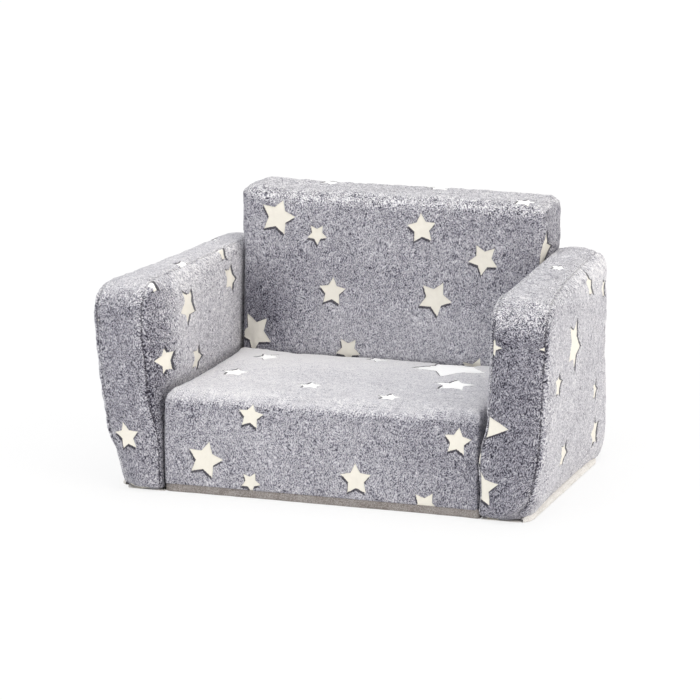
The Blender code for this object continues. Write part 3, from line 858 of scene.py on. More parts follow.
# Back: one upright foam block in its own plush cover, thinner towards its top. Its front and its top are
# one soft turn, and the seam runs round the rear edge. It is sewn to the seat base below and to both arms.

BACK_HEIGHT = 0.436
BACK_FOOT_DEPTH = 0.112
BACK_TOP_DEPTH = 0.086
BACK_CORNER = 0.012
BACK_LEFT_LIFT = 0.0075
BACK_ROLL = 0.023
BACK_SEAM_RADIUS = 0.009
BACK_FRONT_CROWN = 0.006
BACK_TOP_CROWN = 0.006
BACK_SIDE_PUFF = 0.004
BACK_CROWN_POWER = 0.4
BACK_CROWN_RISE = 0.10
BACK_PUFF_LEVELS = (ARM_HEIGHT - 0.006, ARM_HEIGHT + 0.03)
BACK_LIFT_SPAN = (0.16, 0.26)
BACK_LIFT_START = 0.13
BACK_LIFT_REAR = 0.25
BACK_SEWN_SHARE, BACK_SEWN_FADE = 0.97, 0.02
BACK_REST_FADE = 0.010
SEAT_LEVEL = 0.166

back_half = np.array((2 * SEAT_HALF_WIDTH, BACK_FOOT_DEPTH, BACK_HEIGHT - FOOT_LEVEL)) / 2
back_centre = np.array((0.0, BODY_REAR - back_half[1], FOOT_LEVEL + back_half[2]))
back_seams = ((1, 1), (2, -1))


def back_shape(points, flat):
    level = SEAT_LEVEL - back_centre[2]
    points = rounded(points, back_half, BACK_SEAM_RADIUS)
    wide = bulge(flat[:, 0], back_half[0]) ** BACK_CROWN_POWER
    shown = smooth(flat[:, 2], level, level + BACK_CROWN_RISE) * wide
    points[:, 1] -= BACK_FRONT_CROWN * shown * np.clip(1 - (flat[:, 1] + back_half[1]) / CROWN_FADE, 0, 1)
    points[:, 2] += BACK_TOP_CROWN * wide * np.clip(1 - (back_half[2] - flat[:, 2]) / CROWN_FADE, 0, 1)
    above = smooth(flat[:, 2] + back_centre[2], *BACK_PUFF_LEVELS)
    points[:, 0] += BACK_SIDE_PUFF * above * (flat[:, 0] / back_half[0]) ** 5
    round_corner(points, back_half, (1, 2), (-1, 1), BACK_ROLL)
    for side in (-1, 1):
        round_corner(points, back_half, (0, 2), (side, 1), BACK_CORNER)
    ahead = (back_half[1] - flat[:, 1]) / (2 * back_half[1])
    proud = smooth(-flat[:, 0], *BACK_LIFT_SPAN) * smooth(flat[:, 2], BACK_LIFT_START, back_half[2])
    points[:, 2] += BACK_LEFT_LIFT * proud * (BACK_LIFT_REAR + (1 - BACK_LIFT_REAR) * ahead)
    rise = np.clip((points[:, 2] - level) / (back_half[2] - level), 0, None)
    forward = (back_half[1] - points[:, 1]) / (2 * back_half[1])
    points[:, 1] += (BACK_FOOT_DEPTH - BACK_TOP_DEPTH) * rise * forward
    return points


def back_resting(flat):
    beside = np.clip((np.abs(flat[:, 0]) / back_half[0] - BACK_SEWN_SHARE) / BACK_SEWN_FADE, 0, 1)
    beside = beside * np.clip((ARM_HEIGHT - back_centre[2] - flat[:, 2]) / BACK_REST_FADE, 0, 1)
    below = np.clip((SEAT_LEVEL - back_centre[2] - flat[:, 2]) / BACK_REST_FADE, 0, 1)
    return np.maximum(beside, below)


BACK_STARS = {
    2: [(-0.1967, 0.3910, 0.0310, 12.8), (-0.1262, 0.3667, 0.0185, 33), (-0.0969, 0.2716, 0.0245, 3),
        (0.0566, 0.3866, 0.0258, -6.5), (0.1646, 0.3405, 0.0265, -28.8), (0.0835, 0.2714, 0.0300, 27),
        (-0.068, 0.174, 0.0225, 36), (-0.238, 0.193, 0.0350, -30), (0.154, 0.152, 0.0260, 20),
        (0.225, 0.235, 0.0240, 14)],
    1: [(0.1370, 0.3520, 0.0450, 8), (0.198, 0.290, 0.0200, 20)],
    5: [(0.2239, 0.1450, 0.0200, 10), (-0.130, 0.212, 0.0200, 22), (0.060, 0.224, 0.0240, -14)],
}

# Where the back's pile is painted paler or darker: levels, the corner's middle and reach (across, up), and
# edges
BACK_LOW = (-0.06, 0.10)
BACK_CORNER_MIDDLE, BACK_CORNER_REACH = (-0.225, -0.01), (0.075, 0.09)
BACK_FRONT_HALF = (0.0, 0.03)
BACK_RIGHT_END = (0.12, 0.22)
BACK_PALER = 0.03
BACK_LOW_PALER = 0.22
BACK_CORNER_PAINTED_SHADE = 0.80
BACK_RIGHT_DARKER = 0.14

back = sew_cover("back_cushion", back_centre, back_half, back_seams, back_shape, back_resting)


def back_tone_and_painted_shade(flat, across):
    """Paler low down and darker towards the right end, with painted shade in the corner beside the left arm.
    """
    low = 1 - smooth(flat[:, 2], *BACK_LOW)
    across_share = (flat[:, 0] - BACK_CORNER_MIDDLE[0]) / BACK_CORNER_REACH[0]
    up_share = (flat[:, 2] - BACK_CORNER_MIDDLE[1]) / BACK_CORNER_REACH[1]
    # Painted shade in the corner between the back, the left arm and the seat
    corner = np.exp(-(across_share ** 2 + up_share ** 2))
    pressed = BACK_LOW_PALER * low - BACK_CORNER_PAINTED_SHADE * corner
    pressed = pressed - BACK_RIGHT_DARKER * smooth(flat[:, 0], *BACK_RIGHT_END)
    return BACK_PALER + smooth(-flat[:, 1], *BACK_FRONT_HALF) * pressed


BACK_SEED = 11
# Paleness by facing and by patches, partly painted light and shade
BACK_LIES_AND_LIGHT = ((0.34, 0.3, 0.15, 0.72), (0.6, 0.6, 1.8), back_tone_and_painted_shade)
raise_pile(back, back_centre, back_half, back_seams, BACK_STARS, back_resting,
           BACK_LIES_AND_LIGHT, BACK_SEED)
sink_zip(back, "back", back_centre, back_half)
starry_plush.give(back, "plush")
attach(back, "sofa_body")
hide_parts("back_cover", "back_core")


# Seat: a fixed base block and a flip block that turns over forward. Each is foam in its own plush cover.
# Both are cut from one outline, a little smaller in front, where one plush front is drawn over the two.

SPLIT_HEIGHT = 0.0845
SEAT_FRONT = -0.21495
FLIP_GAP = 0.002
SEAT_ROLL = 0.020
SEAT_TOP_CROWN = 0.003
SEAT_EDGE = 0.006
SEAT_FOOT_CORNER = 0.015
SEAT_SEAM_RADIUS = 0.008
SEAT_REAR = 0.12375
SEAT_END_BULGE = 0.004
SEAT_BULGE_REACH = 0.03
SEAT_END_SHARPNESS = 9
SEAT_DOME_POWER = 0.15
SEAT_REST_FADE = 0.006
FRONT_INSET = 0.0005
FRONT_INSET_REACH = 0.02
WRAP_FADE = 0.006
FRONT_CLOTH = 0.0013
FRONT_WRAP = 0.016

seat_half = np.array((2 * (SEAT_HALF_WIDTH - SEWN_GAP), SEAT_REAR - SEAT_FRONT,
                      SEAT_LEVEL - SEAT_TOP_CROWN - FOOT_LEVEL)) / 2
seat_centre = np.array((0.0, (SEAT_FRONT + SEAT_REAR) / 2, FOOT_LEVEL + seat_half[2]))


def seat_outline(points):
    """The rolled front, the soft side edges and the foot that all the seat's pieces share."""
    round_corner(points, seat_half, (1, 2), (-1, 1), SEAT_ROLL)
    round_corner(points, seat_half, (1, 2), (-1, -1), SEAT_SEAM_RADIUS)
    for side in (-1, 1):
        round_corner(points, seat_half, (0, 2), (side, 1), SEAT_EDGE)
        round_corner(points, seat_half, (0, 2), (side, -1), SEAT_FOOT_CORNER)
        round_corner(points, seat_half, (0, 1), (side, -1), SEAT_SEAM_RADIUS)
    height = points[:, 2] + seat_centre[2]
    forward = np.clip((BODY_REAR - seat_centre[1] - points[:, 1]) / (BODY_REAR - ARM_FRONT), 0, 1)
    beside = (points[:, 0] / seat_half[0]) ** SEAT_END_SHARPNESS
    low = 1 - smooth(height, LEAN_START, LEAN_END)
    sewn_lean = np.where(points[:, 0] > 0, ARM_SEWN_LEAN[1], ARM_SEWN_LEAN[-1])
    points[:, 0] += sewn_lean * forward * beside * low
    ahead = smooth(-points[:, 1], seat_half[1] - SEAT_BULGE_REACH, seat_half[1])
    points[:, 1] -= SEAT_END_BULGE * ahead * np.abs(beside) * low
    return points


def seat_block(low, high, gap, crowned):
    """Half sizes, centre and shape of one of the two blocks."""
    half = np.array((seat_half[0] - gap, seat_half[1] - gap / 2, (high - low) / 2))
    centre = np.array((0.0, SEAT_FRONT + half[1], (high + low) / 2))

    def shape(points, flat):
        points = rounded(points, half, SEAT_SEAM_RADIUS)
        if crowned:
            top = np.abs(flat[:, 2] - half[2]) < TINY
            dome = bulge(flat[:, 0], half[0]) * bulge(flat[:, 1], half[1])
            points[top, 2] += SEAT_TOP_CROWN * dome[top] ** SEAT_DOME_POWER
        wrapped = np.clip((FRONT_WRAP + WRAP_FADE - half[1] - flat[:, 1]) / WRAP_FADE, 0, 1)
        wrapped *= np.clip((np.abs(flat[:, 0]) - half[0] + SEAT_SEAM_RADIUS) / SEAT_SEAM_RADIUS, 0, 1)
        points = seat_outline(points + centre - seat_centre) + seat_centre - centre
        points[:, 0] -= np.sign(points[:, 0]) * np.clip(FRONT_CLOTH - gap, 0, None) * wrapped
        points[:, 1] += FRONT_INSET * smooth(-flat[:, 1], half[1] - FRONT_INSET_REACH, half[1])
        return points
    return half, centre, shape


def resting_all(flat):
    return np.ones(len(flat))


base_half, base_centre, base_shape = seat_block(FOOT_LEVEL, SPLIT_HEIGHT - SEWN_GAP / 2, 0.0, False)
seat_base = sew_cover("seat_base_cushion", base_centre, base_half, ((2, -1),), base_shape, resting_all)
BASE_SEED = 23
# Paleness by facing, partly painted light and shade
BASE_LIES_AND_LIGHT = ((0.3, 0.3, 0.3, 0.8), (0.6, 0.6, 0.6), None)
raise_pile(seat_base, base_centre, base_half, ((2, -1),), {2: []}, resting_all,
           BASE_LIES_AND_LIGHT, BASE_SEED)
sink_zip(seat_base, "seat_base", base_centre, base_half)
starry_plush.give(seat_base, "plush")
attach(seat_base, "sofa_body")
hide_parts("seat_base_cover", "seat_base_core")

flip_half, flip_centre, flip_shape = seat_block(SPLIT_HEIGHT + SEWN_GAP / 2, SEAT_LEVEL - SEAT_TOP_CROWN,
                                                FLIP_GAP - SEWN_GAP, True)


def flip_resting(flat):
    return np.clip((flip_half[2] - SEAT_REST_FADE - flat[:, 2]) / SEAT_REST_FADE, 0, 1)


# Where the seat's top is painted paler, from none to full, and by how much
SEAT_REAR_HALF, SEAT_LEFT_HALF, SEAT_UPPER_HALF = (-0.02, 0.15), (0.04, 0.20), (0.0, 0.03)
SEAT_REAR_PAINTED_LIGHT, SEAT_LEFT_PALER = 0.5, 0.2


def painted_light_seat(flat, across):
    """Painted light towards the rear, where the back and the arms shade it, and paler towards the left."""
    pressed = SEAT_REAR_PAINTED_LIGHT * smooth(flat[:, 1], *SEAT_REAR_HALF)
    pressed = pressed + SEAT_LEFT_PALER * smooth(-flat[:, 0], *SEAT_LEFT_HALF)
    return pressed * smooth(flat[:, 2], *SEAT_UPPER_HALF)


FLIP_STARS = {
    2: [],
    5: [(-0.1990, -0.0680, 0.0240, -7), (-0.1855, 0.0514, 0.0235, 33.5), (-0.0498, -0.1189, 0.0215, -12.7),
        (0.0951, -0.1560, 0.0200, -1), (0.1690, -0.0480, 0.0345, -5), (0.1310, 0.0700, 0.0660, 36),
        (-0.005, 0.0950, 0.0200, 30)],
}
flip_seat = sew_cover("flip_seat_cushion", flip_centre, flip_half, ((2, -1),), flip_shape, flip_resting)
FLIP_SEED = 31
# Paleness by facing and by patches, partly painted light and shade
FLIP_LIES_AND_LIGHT = ((0.3, 0.3, 0.3, 1.06), (0.6, 0.6, 0.45), painted_light_seat)
raise_pile(flip_seat, flip_centre, flip_half, ((2, -1),), FLIP_STARS, flip_resting,
           FLIP_LIES_AND_LIGHT, FLIP_SEED)
sink_zip(flip_seat, "flip_seat", flip_centre, flip_half)
starry_plush.give(flip_seat, "plush")
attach(flip_seat, "flip_seat")
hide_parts("flip_seat_cover", "flip_seat_core")


# Seat front: one plush panel drawn over both blocks from the hem to the roll and a little round the sides.
# It takes the place of the hinge strip.

HEM_LEVEL = 0.0145
FRONT_LIFT = 0.0022
FRONT_TOP_WRAP = 0.016
FRONT_SINK = 0.0030
FRONT_STAR_SHARE = 0.6
FRONT_WAVE_DEPTH = 0.0012
FRONT_WAVE_SIZE = 0.11
FRONT_WAVE_RANGE = (-1, 0.3)
FRONT_STARS = {
    2: [(-0.1155, 0.1368, 0.0220, 8), (-0.1942, 0.0583, 0.0310, 14), (-0.1169, 0.0279, 0.0172, 29),
        (0.0603, 0.0467, 0.0265, -2.7), (0.2278, 0.1221, 0.0233, 7), (0.175, 0.014, 0.0240, 30)],
    5: [], 0: [], 1: [],
}
FRONT_RIGHT_END = (0.08, 0.24)
FRONT_RIGHT_DARKER = 0.28


def front_right_darkening(flat, across):
    """Darker towards the right end."""
    return -FRONT_RIGHT_DARKER * smooth(flat[:, 0], *FRONT_RIGHT_END)


FRONT_SEED = 41
# Paleness by facing and by patches, partly painted light and shade
FRONT_LIES_AND_LIGHT = ((0.32, 0.3, 0.3, 1.04), (0.6, 0.6, 0.35), front_right_darkening)


def thicken(piece, thickness):
    """Give a sheet its thickness, inwards, and keep the result as its mesh."""
    wall = piece.modifiers.new("cloth", "SOLIDIFY")
    wall.thickness = thickness
    wall.offset = -1
    piece.data = bpy.data.meshes.new_from_object(piece.evaluated_get(bpy.context.evaluated_depsgraph_get()))
    piece.modifiers.clear()


def front_cloth():
    """The part of the seat's outline that the front panel covers, sunk into the blocks at its top edge."""
    points, faces, panels = box_grid(seat_half)
    middles = points[faces].mean(axis=1)
    ahead = middles[:, 1] + seat_half[1]
    covered = (panels == 2) | ((panels < 2) & (ahead < FRONT_WRAP))
    covered |= (panels == 5) & (ahead < FRONT_TOP_WRAP)
    covered &= middles[:, 2] + seat_centre[2] > HEM_LEVEL
    faces, panels = faces[covered], panels[covered]
    flat, faces = used_only(points, faces)
    bent = seat_outline(rounded(flat.copy(), seat_half, SEAT_SEAM_RADIUS))
    piece = new_piece("seat_front_plush", bent + seat_centre, faces)
    keep(piece, "flat", "FLOAT_VECTOR", "POINT", flat)
    keep(piece, "panel", "INT", "FACE", panels)
    piece.data.shade_smooth()
    halve(piece)
    flat = kept(piece, "flat")
    ahead = flat[:, 1] + seat_half[1]
    on_roll = np.clip((flat[:, 2] - seat_half[2] + SEAT_ROLL / 2) / (SEAT_ROLL / 2), 0, 1)
    sunk = np.clip((on_roll + ahead / FRONT_TOP_WRAP) / 2, 0, 1)
    at_end = np.abs(flat[:, 0]) > seat_half[0] - TINY
    lift = np.where(at_end, 0.0, FRONT_LIFT) - FRONT_SINK * sunk
    lay_pile(piece, np.full(len(flat), FAR), *FRONT_LIES_AND_LIGHT, FLIP_SEED)
    star = print_stars(piece, seat_centre, seat_half, FRONT_STARS, FRONT_SEED)
    pressed = FRONT_STAR_SHARE * STAR_DEPTH * matted(star)
    lift += CLUMP_DEPTH * noise_at(flat, CLUMP_SIZE, FRONT_SEED + 2) - pressed
    lift += FRONT_WAVE_DEPTH * np.clip(noise_at(flat, FRONT_WAVE_SIZE, FRONT_SEED + 6), *FRONT_WAVE_RANGE)
    set_places(piece.data, places(piece.data) + outward(piece.data) * lift[:, None])
    keep(piece, "place", "FLOAT_VECTOR", "POINT", flat + seat_centre)
    thicken(piece, FRONT_CLOTH)
    return piece


seat_front = front_cloth()
starry_plush.give(seat_front, "plush")
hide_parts("hinge_strip")
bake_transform(seat_front)


# Linings: a thin non-woven cloth with embossed dots closes the underside of the seat and of each arm. The
# seat's is turned up in front as a low band. Each arm's ends in a rolled hem that shows along its outer foot.
# The arms' lining and hem are the same cloth painted paler, as painted light from the right.

LINING_LEVEL = 0.0003
LINING_THICKNESS = 0.0008
LINING_STEP = 0.008
BAND_TOP = 0.0165
BAND_ROLL = 0.0035
BAND_FRONT = -0.21545
BAND_TAPERS = {-1: 0.024, 1: 0.006}
BAND_DRAW = 0.008
BAND_DRAW_SPAN = (0.12, 0.19)
BAND_LEVELS = (0.0065, 0.0090, 0.0120, BAND_TOP)
LINING_SIDE_MARGIN = 0.001
REAR_MARGIN = 0.003
REAR_CORNER = 0.010
REAR_CORNER_SHARPNESS = 12
RUMPLE_DEPTH = 0.0005
RUMPLE_SCALE, RUMPLE_SCALE_UP = 40, 120
SLOT_MARGIN = 0.001
ARM_LINING_MARGIN = 0.0004
ARM_LINING_START = 0.018
ARM_LINING_INSET = 0.005
ARM_LINING_POINTS = 12
HEM_PROFILE = ((-0.0060, 0.0006), (0.0000, 0.0003), (0.0042, 0.0008), (0.0058, 0.0024), (0.0056, 0.0046),
               (0.0044, 0.0072), (0.0022, 0.0098), (-0.0008, 0.0114), (-0.0045, 0.0102))
HEM_START = {-1: math.radians(80), 1: math.radians(56)}
HEM_STEP = 0.003
HEM_CORNER_POINTS = 20
HEM_REAR = 0.178
HEM_THICKNESS = 0.0005
HEM_END_ROWS = 8
HEM_END_RISE = 0.4
HEM_RUMPLE_STEP, HEM_RUMPLE_SPREAD, HEM_RUMPLE_LEVEL = 0.3, 3.0, 0.5
DOT_SPACING = 0.0021


def make_lining(name, colour, speck):
    """Pressed fibres with rows of embossed dots and darker specks."""
    cloth = Finish(name)
    place = cloth.attribute("place")
    dots = cloth.node("ShaderNodeTexVoronoi", {},
                      {"Vector": place, "Scale": 1 / DOT_SPACING, "Randomness": 0.25})
    pressed = dots.step(0.42, 0.24)
    specks = cloth.noise(place, 620.0, 2.0, 0.7)
    cloudy = cloth.noise(place, 45.0, 2.0)
    fuzz = cloth.noise(place, 1500.0, 1.0)
    base = cloth.mix((specks - 0.34) * 3.0 + (cloudy - 0.5) * 0.8, speck, colour)
    cloth.set(Base_Color=cloth.mix(pressed * 0.3, base, speck), Roughness=0.88 - pressed * 0.12)
    height = fuzz * 0.3 + specks * 0.4 - pressed * 0.7
    cloth.set(Normal=cloth.bump(height, 0.6, 0.0006), Specular_IOR_Level=0.25)
    return cloth


def laid_sheet(name, rows, thickness, gone=None):
    """A sheet through rows of points, thickened inwards, without the faces whose middles are in `gone`."""
    rows = np.asarray(rows, float)
    number = np.arange(rows.shape[0] * rows.shape[1]).reshape(rows.shape[:2])
    faces = np.stack((number[:-1, :-1], number[:-1, 1:], number[1:, 1:], number[1:, :-1]), -1).reshape(-1, 4)
    points = rows.reshape(-1, 3)
    if gone:
        points, faces = used_only(points, faces[~gone(points[faces].mean(axis=1))])
    piece = new_piece(name, points, faces)
    piece.data.shade_smooth()
    keep(piece, "place", "FLOAT_VECTOR", "POINT", points)
    thicken(piece, thickness)
    return piece


def steps(low, high, step):
    return np.linspace(low, high, max(2, round(abs(high - low) / step)) + 1)


def seat_lining_rows(low, high):
    """From the rear edge forward under the seat, round a small roll and up behind the plush's hem."""
    path = [(y, LINING_LEVEL) for y in steps(high[1] - REAR_MARGIN, BAND_FRONT + BAND_ROLL, LINING_STEP)[:-1]]
    path += [(BAND_FRONT + BAND_ROLL * (1 - math.sin(angle)),
              LINING_LEVEL + BAND_ROLL * (1 - math.cos(angle))) for angle in np.linspace(0, math.pi / 2, 6)]
    path += [(BAND_FRONT, z) for z in BAND_LEVELS]
    rows = []
    for y, z in path:
        row = []
        for x in steps(low[0] + LINING_SIDE_MARGIN, high[0] - LINING_SIDE_MARGIN, LINING_STEP / 2):
            taper = BAND_TAPERS[1 if x > 0 else -1]
            end = np.clip(1 - (high[0] - abs(x)) / taper, 0, 1)
            drawn = (1 - math.sqrt(1 - end ** 2)) * smooth(-y, *BAND_DRAW_SPAN)
            behind = np.clip((y - high[1] + REAR_CORNER + REAR_MARGIN) / REAR_CORNER, 0, 1)
            outer = abs(x / SEAT_HALF_WIDTH)
            cut = REAR_CORNER * (1 - math.sqrt(1 - behind ** 2)) * outer ** REAR_CORNER_SHARPNESS
            bulged = smooth(-y, -BAND_FRONT - SEAT_BULGE_REACH, -BAND_FRONT)
            proud = SEAT_END_BULGE * bulged * outer ** SEAT_END_SHARPNESS
            spot = Vector((x * RUMPLE_SCALE, y * RUMPLE_SCALE, z * RUMPLE_SCALE_UP))
            rumple = RUMPLE_DEPTH * noise.noise(spot)
            lifted = max(rumple, 0) if z > LINING_LEVEL else 0
            row.append((x - math.copysign(cut, x), y + BAND_DRAW * drawn - proud + rumple,
                        z - 0.5 * (z - LINING_LEVEL) * drawn + lifted))
        rows.append(row)
    return rows


taupe_lining = make_lining("taupe_lining", tint(182, 177, 174), tint(120, 112, 108))
# The arms' lining is the same cloth painted paler, as painted light from the right
painted_lit_lining = make_lining("painted_lit_lining", tint(250, 248, 245), tint(208, 204, 198))

lining_low, lining_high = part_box("seat_lining")
slot_middle, slot_reach = zip_run("seat_base")[3:]
slot_reach = slot_reach + SLOT_MARGIN


def at_seat_zip(middles):
    return np.all(np.abs(middles - slot_middle)[:, :2] < slot_reach[:2], axis=1)


seat_rows = seat_lining_rows(lining_low, lining_high)
seat_lining = laid_sheet("seat_lining_cloth", seat_rows, LINING_THICKNESS, at_seat_zip)
taupe_lining.give(seat_lining, "lining")
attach(seat_lining, "sofa_body")
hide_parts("seat_lining")
lining_wide, lining_long = lining_high[0] - lining_low[0], lining_high[1] - lining_low[1] + BAND_TOP
lining_wide * lining_long - 4 * slot_reach[0] * slot_reach[1]


def foot_edge(side, y):
    """The outer edge of an arm's foot at a place along it, before its front corner."""
    width = SEAT_HALF_WIDTH + SEWN_GAP + ARM_THICKNESS
    return width - ARM_FOOT_DRAW * (BODY_REAR - y) / (BODY_REAR - ARM_FRONT)


for arm_name, side in (("left_arm", -1), ("right_arm", 1)):
    low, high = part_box(arm_name + "_lining")
    inner = SEAT_HALF_WIDTH + SEWN_GAP + ARM_LINING_MARGIN
    corner_x, corner_y = foot_edge(side, ARM_FRONT) - FOOT_CORNER, ARM_FRONT + FOOT_CORNER
    rows = []
    for y in steps(ARM_FRONT + ARM_LINING_START, high[1], LINING_STEP):
        ahead = np.clip((corner_y - y) / FOOT_CORNER, 0, 1)
        outer = foot_edge(side, y) - ARM_LINING_INSET - FOOT_CORNER * (1 - math.sqrt(1 - ahead ** 2))
        rows.append([(side * (inner + (outer - inner) * share), y, LINING_LEVEL)
                     for share in np.linspace(0, 1, ARM_LINING_POINTS)][::-side])
    sheet = laid_sheet(arm_name + "_lining_cloth", rows, LINING_THICKNESS)
    painted_lit_lining.give(sheet, "lining")
    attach(sheet, "sofa_body")
    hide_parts(arm_name + "_lining")

    route = [(corner_x + FOOT_CORNER * math.sin(angle), corner_y - FOOT_CORNER * math.cos(angle))
             for angle in np.linspace(HEM_START[side], math.pi / 2, HEM_CORNER_POINTS)[:-1]]
    route += [(foot_edge(side, y), y) for y in steps(corner_y, HEM_REAR, HEM_STEP)]
    route = np.array(route)
    forward = unit(np.gradient(route, axis=0))
    rows = []
    for number, (place, away) in enumerate(zip(route, np.stack((forward[:, 1], -forward[:, 0]), axis=1))):
        end = min(1, (number + 1) / HEM_END_ROWS, (len(route) - number) / HEM_END_ROWS)
        spot = Vector((number * HEM_RUMPLE_STEP, side * HEM_RUMPLE_SPREAD, HEM_RUMPLE_LEVEL))
        rumple = RUMPLE_DEPTH * noise.noise(spot)
        row = []
        for spread, z in HEM_PROFILE:
            reach = min(spread, 0) + max(spread, 0) * end + rumple
            row.append((side * (place[0] + away[0] * reach), place[1] + away[1] * reach,
                        LINING_LEVEL + (z - LINING_LEVEL) * (HEM_END_RISE + (1 - HEM_END_RISE) * end)))
        rows.append(row[::-side])
    hem = laid_sheet(arm_name + "_lining_hem", rows, HEM_THICKNESS)
    painted_lit_lining.give(hem, "lining")
    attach(hem, "sofa_body")


# Zips: every block has its cover's zip, a woven tape with a nylon coil lying in a fold of the plush, and a
# die-cast slider. As on other children's furniture, the slider has no pull tab.

TAPE_EDGES = (0.0005, 0.0060)
TAPE_THICKNESS = 0.0006
TAPE_STEP = 0.004
COIL_PITCH = 0.0016
COIL_REACH = 0.0013
COIL_RISE = 0.0004
COIL_WIRE = 0.00028
TURN_POINTS = 8
WIRE_SIDES = 5
COIL_MARGIN = 0.004
SLIDER_PLAN = ((-1.0, 0.34), (-0.86, 0.62), (-0.45, 0.80), (0.05, 0.86), (0.35, 1.0), (0.72, 0.98),
               (1.0, 0.74))
SLIDER_LAYERS = ((0.90, 0.0), (1.0, 0.10), (1.0, 0.26), (0.93, 0.34))
BRIDGE_REACH = 0.30
BRIDGE_FOOT, BRIDGE_RISE = 0.30, 0.58
BRIDGE_WIRE = 0.09
BRIDGE_POINTS = 14
BRIDGE_SIDES = 8


def make_tape():
    """Woven polyester: a fine herringbone along it, and grime in the weave."""
    tape = Finish("zip_weave")
    place = tape.attribute("place")
    along, across, _ = tape.parts(place)
    weave = ((along + across.abs() * 0.7) * 5200.0).apply("SINE") * 0.5 + 0.5
    wale = (across * 9000.0).apply("SINE") * 0.5 + 0.5
    grime = tape.noise(place, 260.0, 2.0)
    colour = tape.mix(weave * 0.35 + wale * 0.25 + (grime - 0.5) * 0.5, tint(126, 126, 136), tint(86, 86, 96))
    tape.set(Base_Color=colour, Roughness=0.8 - weave * 0.1, Specular_IOR_Level=0.3)
    tape.set(Normal=tape.bump(weave * 0.6 + wale * 0.4, 0.5, 0.0003))
    return tape


def make_coil():
    """Moulded nylon, scuffed where the slider rubs it."""
    coil = Finish("zip_nylon")
    scuff = coil.noise(coil.attribute("place"), 900.0, 2.0, 0.6)
    colour = coil.mix(scuff, tint(92, 92, 102), tint(136, 136, 146))
    coil.set(Base_Color=colour, Roughness=0.35 + scuff * 0.25)
    coil.set(Coat_Weight=0.15, Normal=coil.bump(scuff, 0.2, 0.0002))
    return coil


def make_slider_metal():
    """Plated zinc: brushed along, with cast pits and duller worn patches."""
    metal = Finish("slider_plating")
    place = metal.attribute("place")
    brushed = metal.noise(metal.vector("MULTIPLY", place, (400.0, 6000.0, 6000.0)), 1.0, 2.0)
    pits = metal.noise(place, 1800.0, 2.0).step(0.36, 0.28)
    worn = metal.noise(place, 320.0, 2.0).step(0.42, 0.62)
    colour = metal.mix(worn, tint(176, 177, 182), tint(142, 142, 147))
    metal.set(Base_Color=metal.mix(pits, colour, tint(88, 88, 92)), Metallic=0.9 - pits * 0.3)
    metal.set(Roughness=0.28 + brushed * 0.2 + worn * 0.14)
    metal.set(Normal=metal.bump(brushed * 0.4 - pits, 0.35, 0.0002))
    return metal


def zip_piece(name, zip_name, points, faces, base, facing_out):
    """A piece of a cover's zip from points (along, across, out), laid from its middle and its base level."""
    facing, along, across, middle, _ = zip_run(zip_name)
    placed = np.tile(middle, (len(points), 1))
    placed[:, along] += points[:, 0]
    placed[:, across] += points[:, 1]
    placed[:, facing] = base + facing_out * points[:, 2]
    handed = np.linalg.det(np.eye(3)[[along, across, facing]]) * facing_out > 0
    piece = new_piece(name, placed, faces if handed else faces[:, ::-1])
    piece.data.shade_smooth()
    keep(piece, "place", "FLOAT_VECTOR", "POINT", points)
    return piece


def tube(path, radius, sides):
    """Points and faces of a wire of round section along a path."""
    path = np.asarray(path, float)
    forward = unit(np.gradient(path, axis=0))
    helper = np.where(np.abs(forward[:, :1]) < 0.9, (1.0, 0.0, 0.0), (0.0, 1.0, 0.0))
    first = unit(np.cross(forward, helper))
    second = np.cross(forward, first)
    angles = np.arange(sides) * 2 * math.pi / sides
    rings = (path[:, None] + radius * (first[:, None] * np.cos(angles)[None, :, None]
                                       + second[:, None] * np.sin(angles)[None, :, None]))
    number = np.arange(len(path) * sides).reshape(len(path), sides)
    turned = np.roll(number, -1, axis=1)
    faces = np.stack((number[:-1], turned[:-1], turned[1:], number[1:]), -1).reshape(-1, 4)
    return rings.reshape(-1, 3), faces


def tape_mesh(length):
    """Two flat tapes with a gap between them, each a thin closed strip."""
    low, high = TAPE_EDGES
    edge = ((low, 0.0), (high, 0.0), (high, TAPE_THICKNESS), (low, TAPE_THICKNESS))
    stations = steps(-length / 2, length / 2, TAPE_STEP)
    points, faces = [], []
    for side in (-1, 1):
        base = len(points)
        points += [(station, side * across, out) for station in stations for across, out in edge]
        for number in range(len(stations) - 1):
            for corner in range(4):
                first, second = base + number * 4 + corner, base + number * 4 + (corner + 1) % 4
                face = (first, second, second + 4, first + 4)
                faces.append(face if side > 0 else face[::-1])
        last = base + (len(stations) - 1) * 4
        for face in ((base + 3, base + 2, base + 1, base), (last, last + 1, last + 2, last + 3)):
            faces.append(face if side > 0 else face[::-1])
    return np.array(points), np.array(faces)


def coil_mesh(length):
    turns = int(length / COIL_PITCH)
    angle = np.arange(turns * TURN_POINTS) * 2 * math.pi / TURN_POINTS
    path = np.stack((angle / (2 * math.pi) * COIL_PITCH - length / 2, COIL_REACH * np.cos(angle),
                     TAPE_THICKNESS + COIL_RISE + COIL_RISE * np.sin(angle)), axis=1)
    return tube(path, COIL_WIRE, WIRE_SIDES)


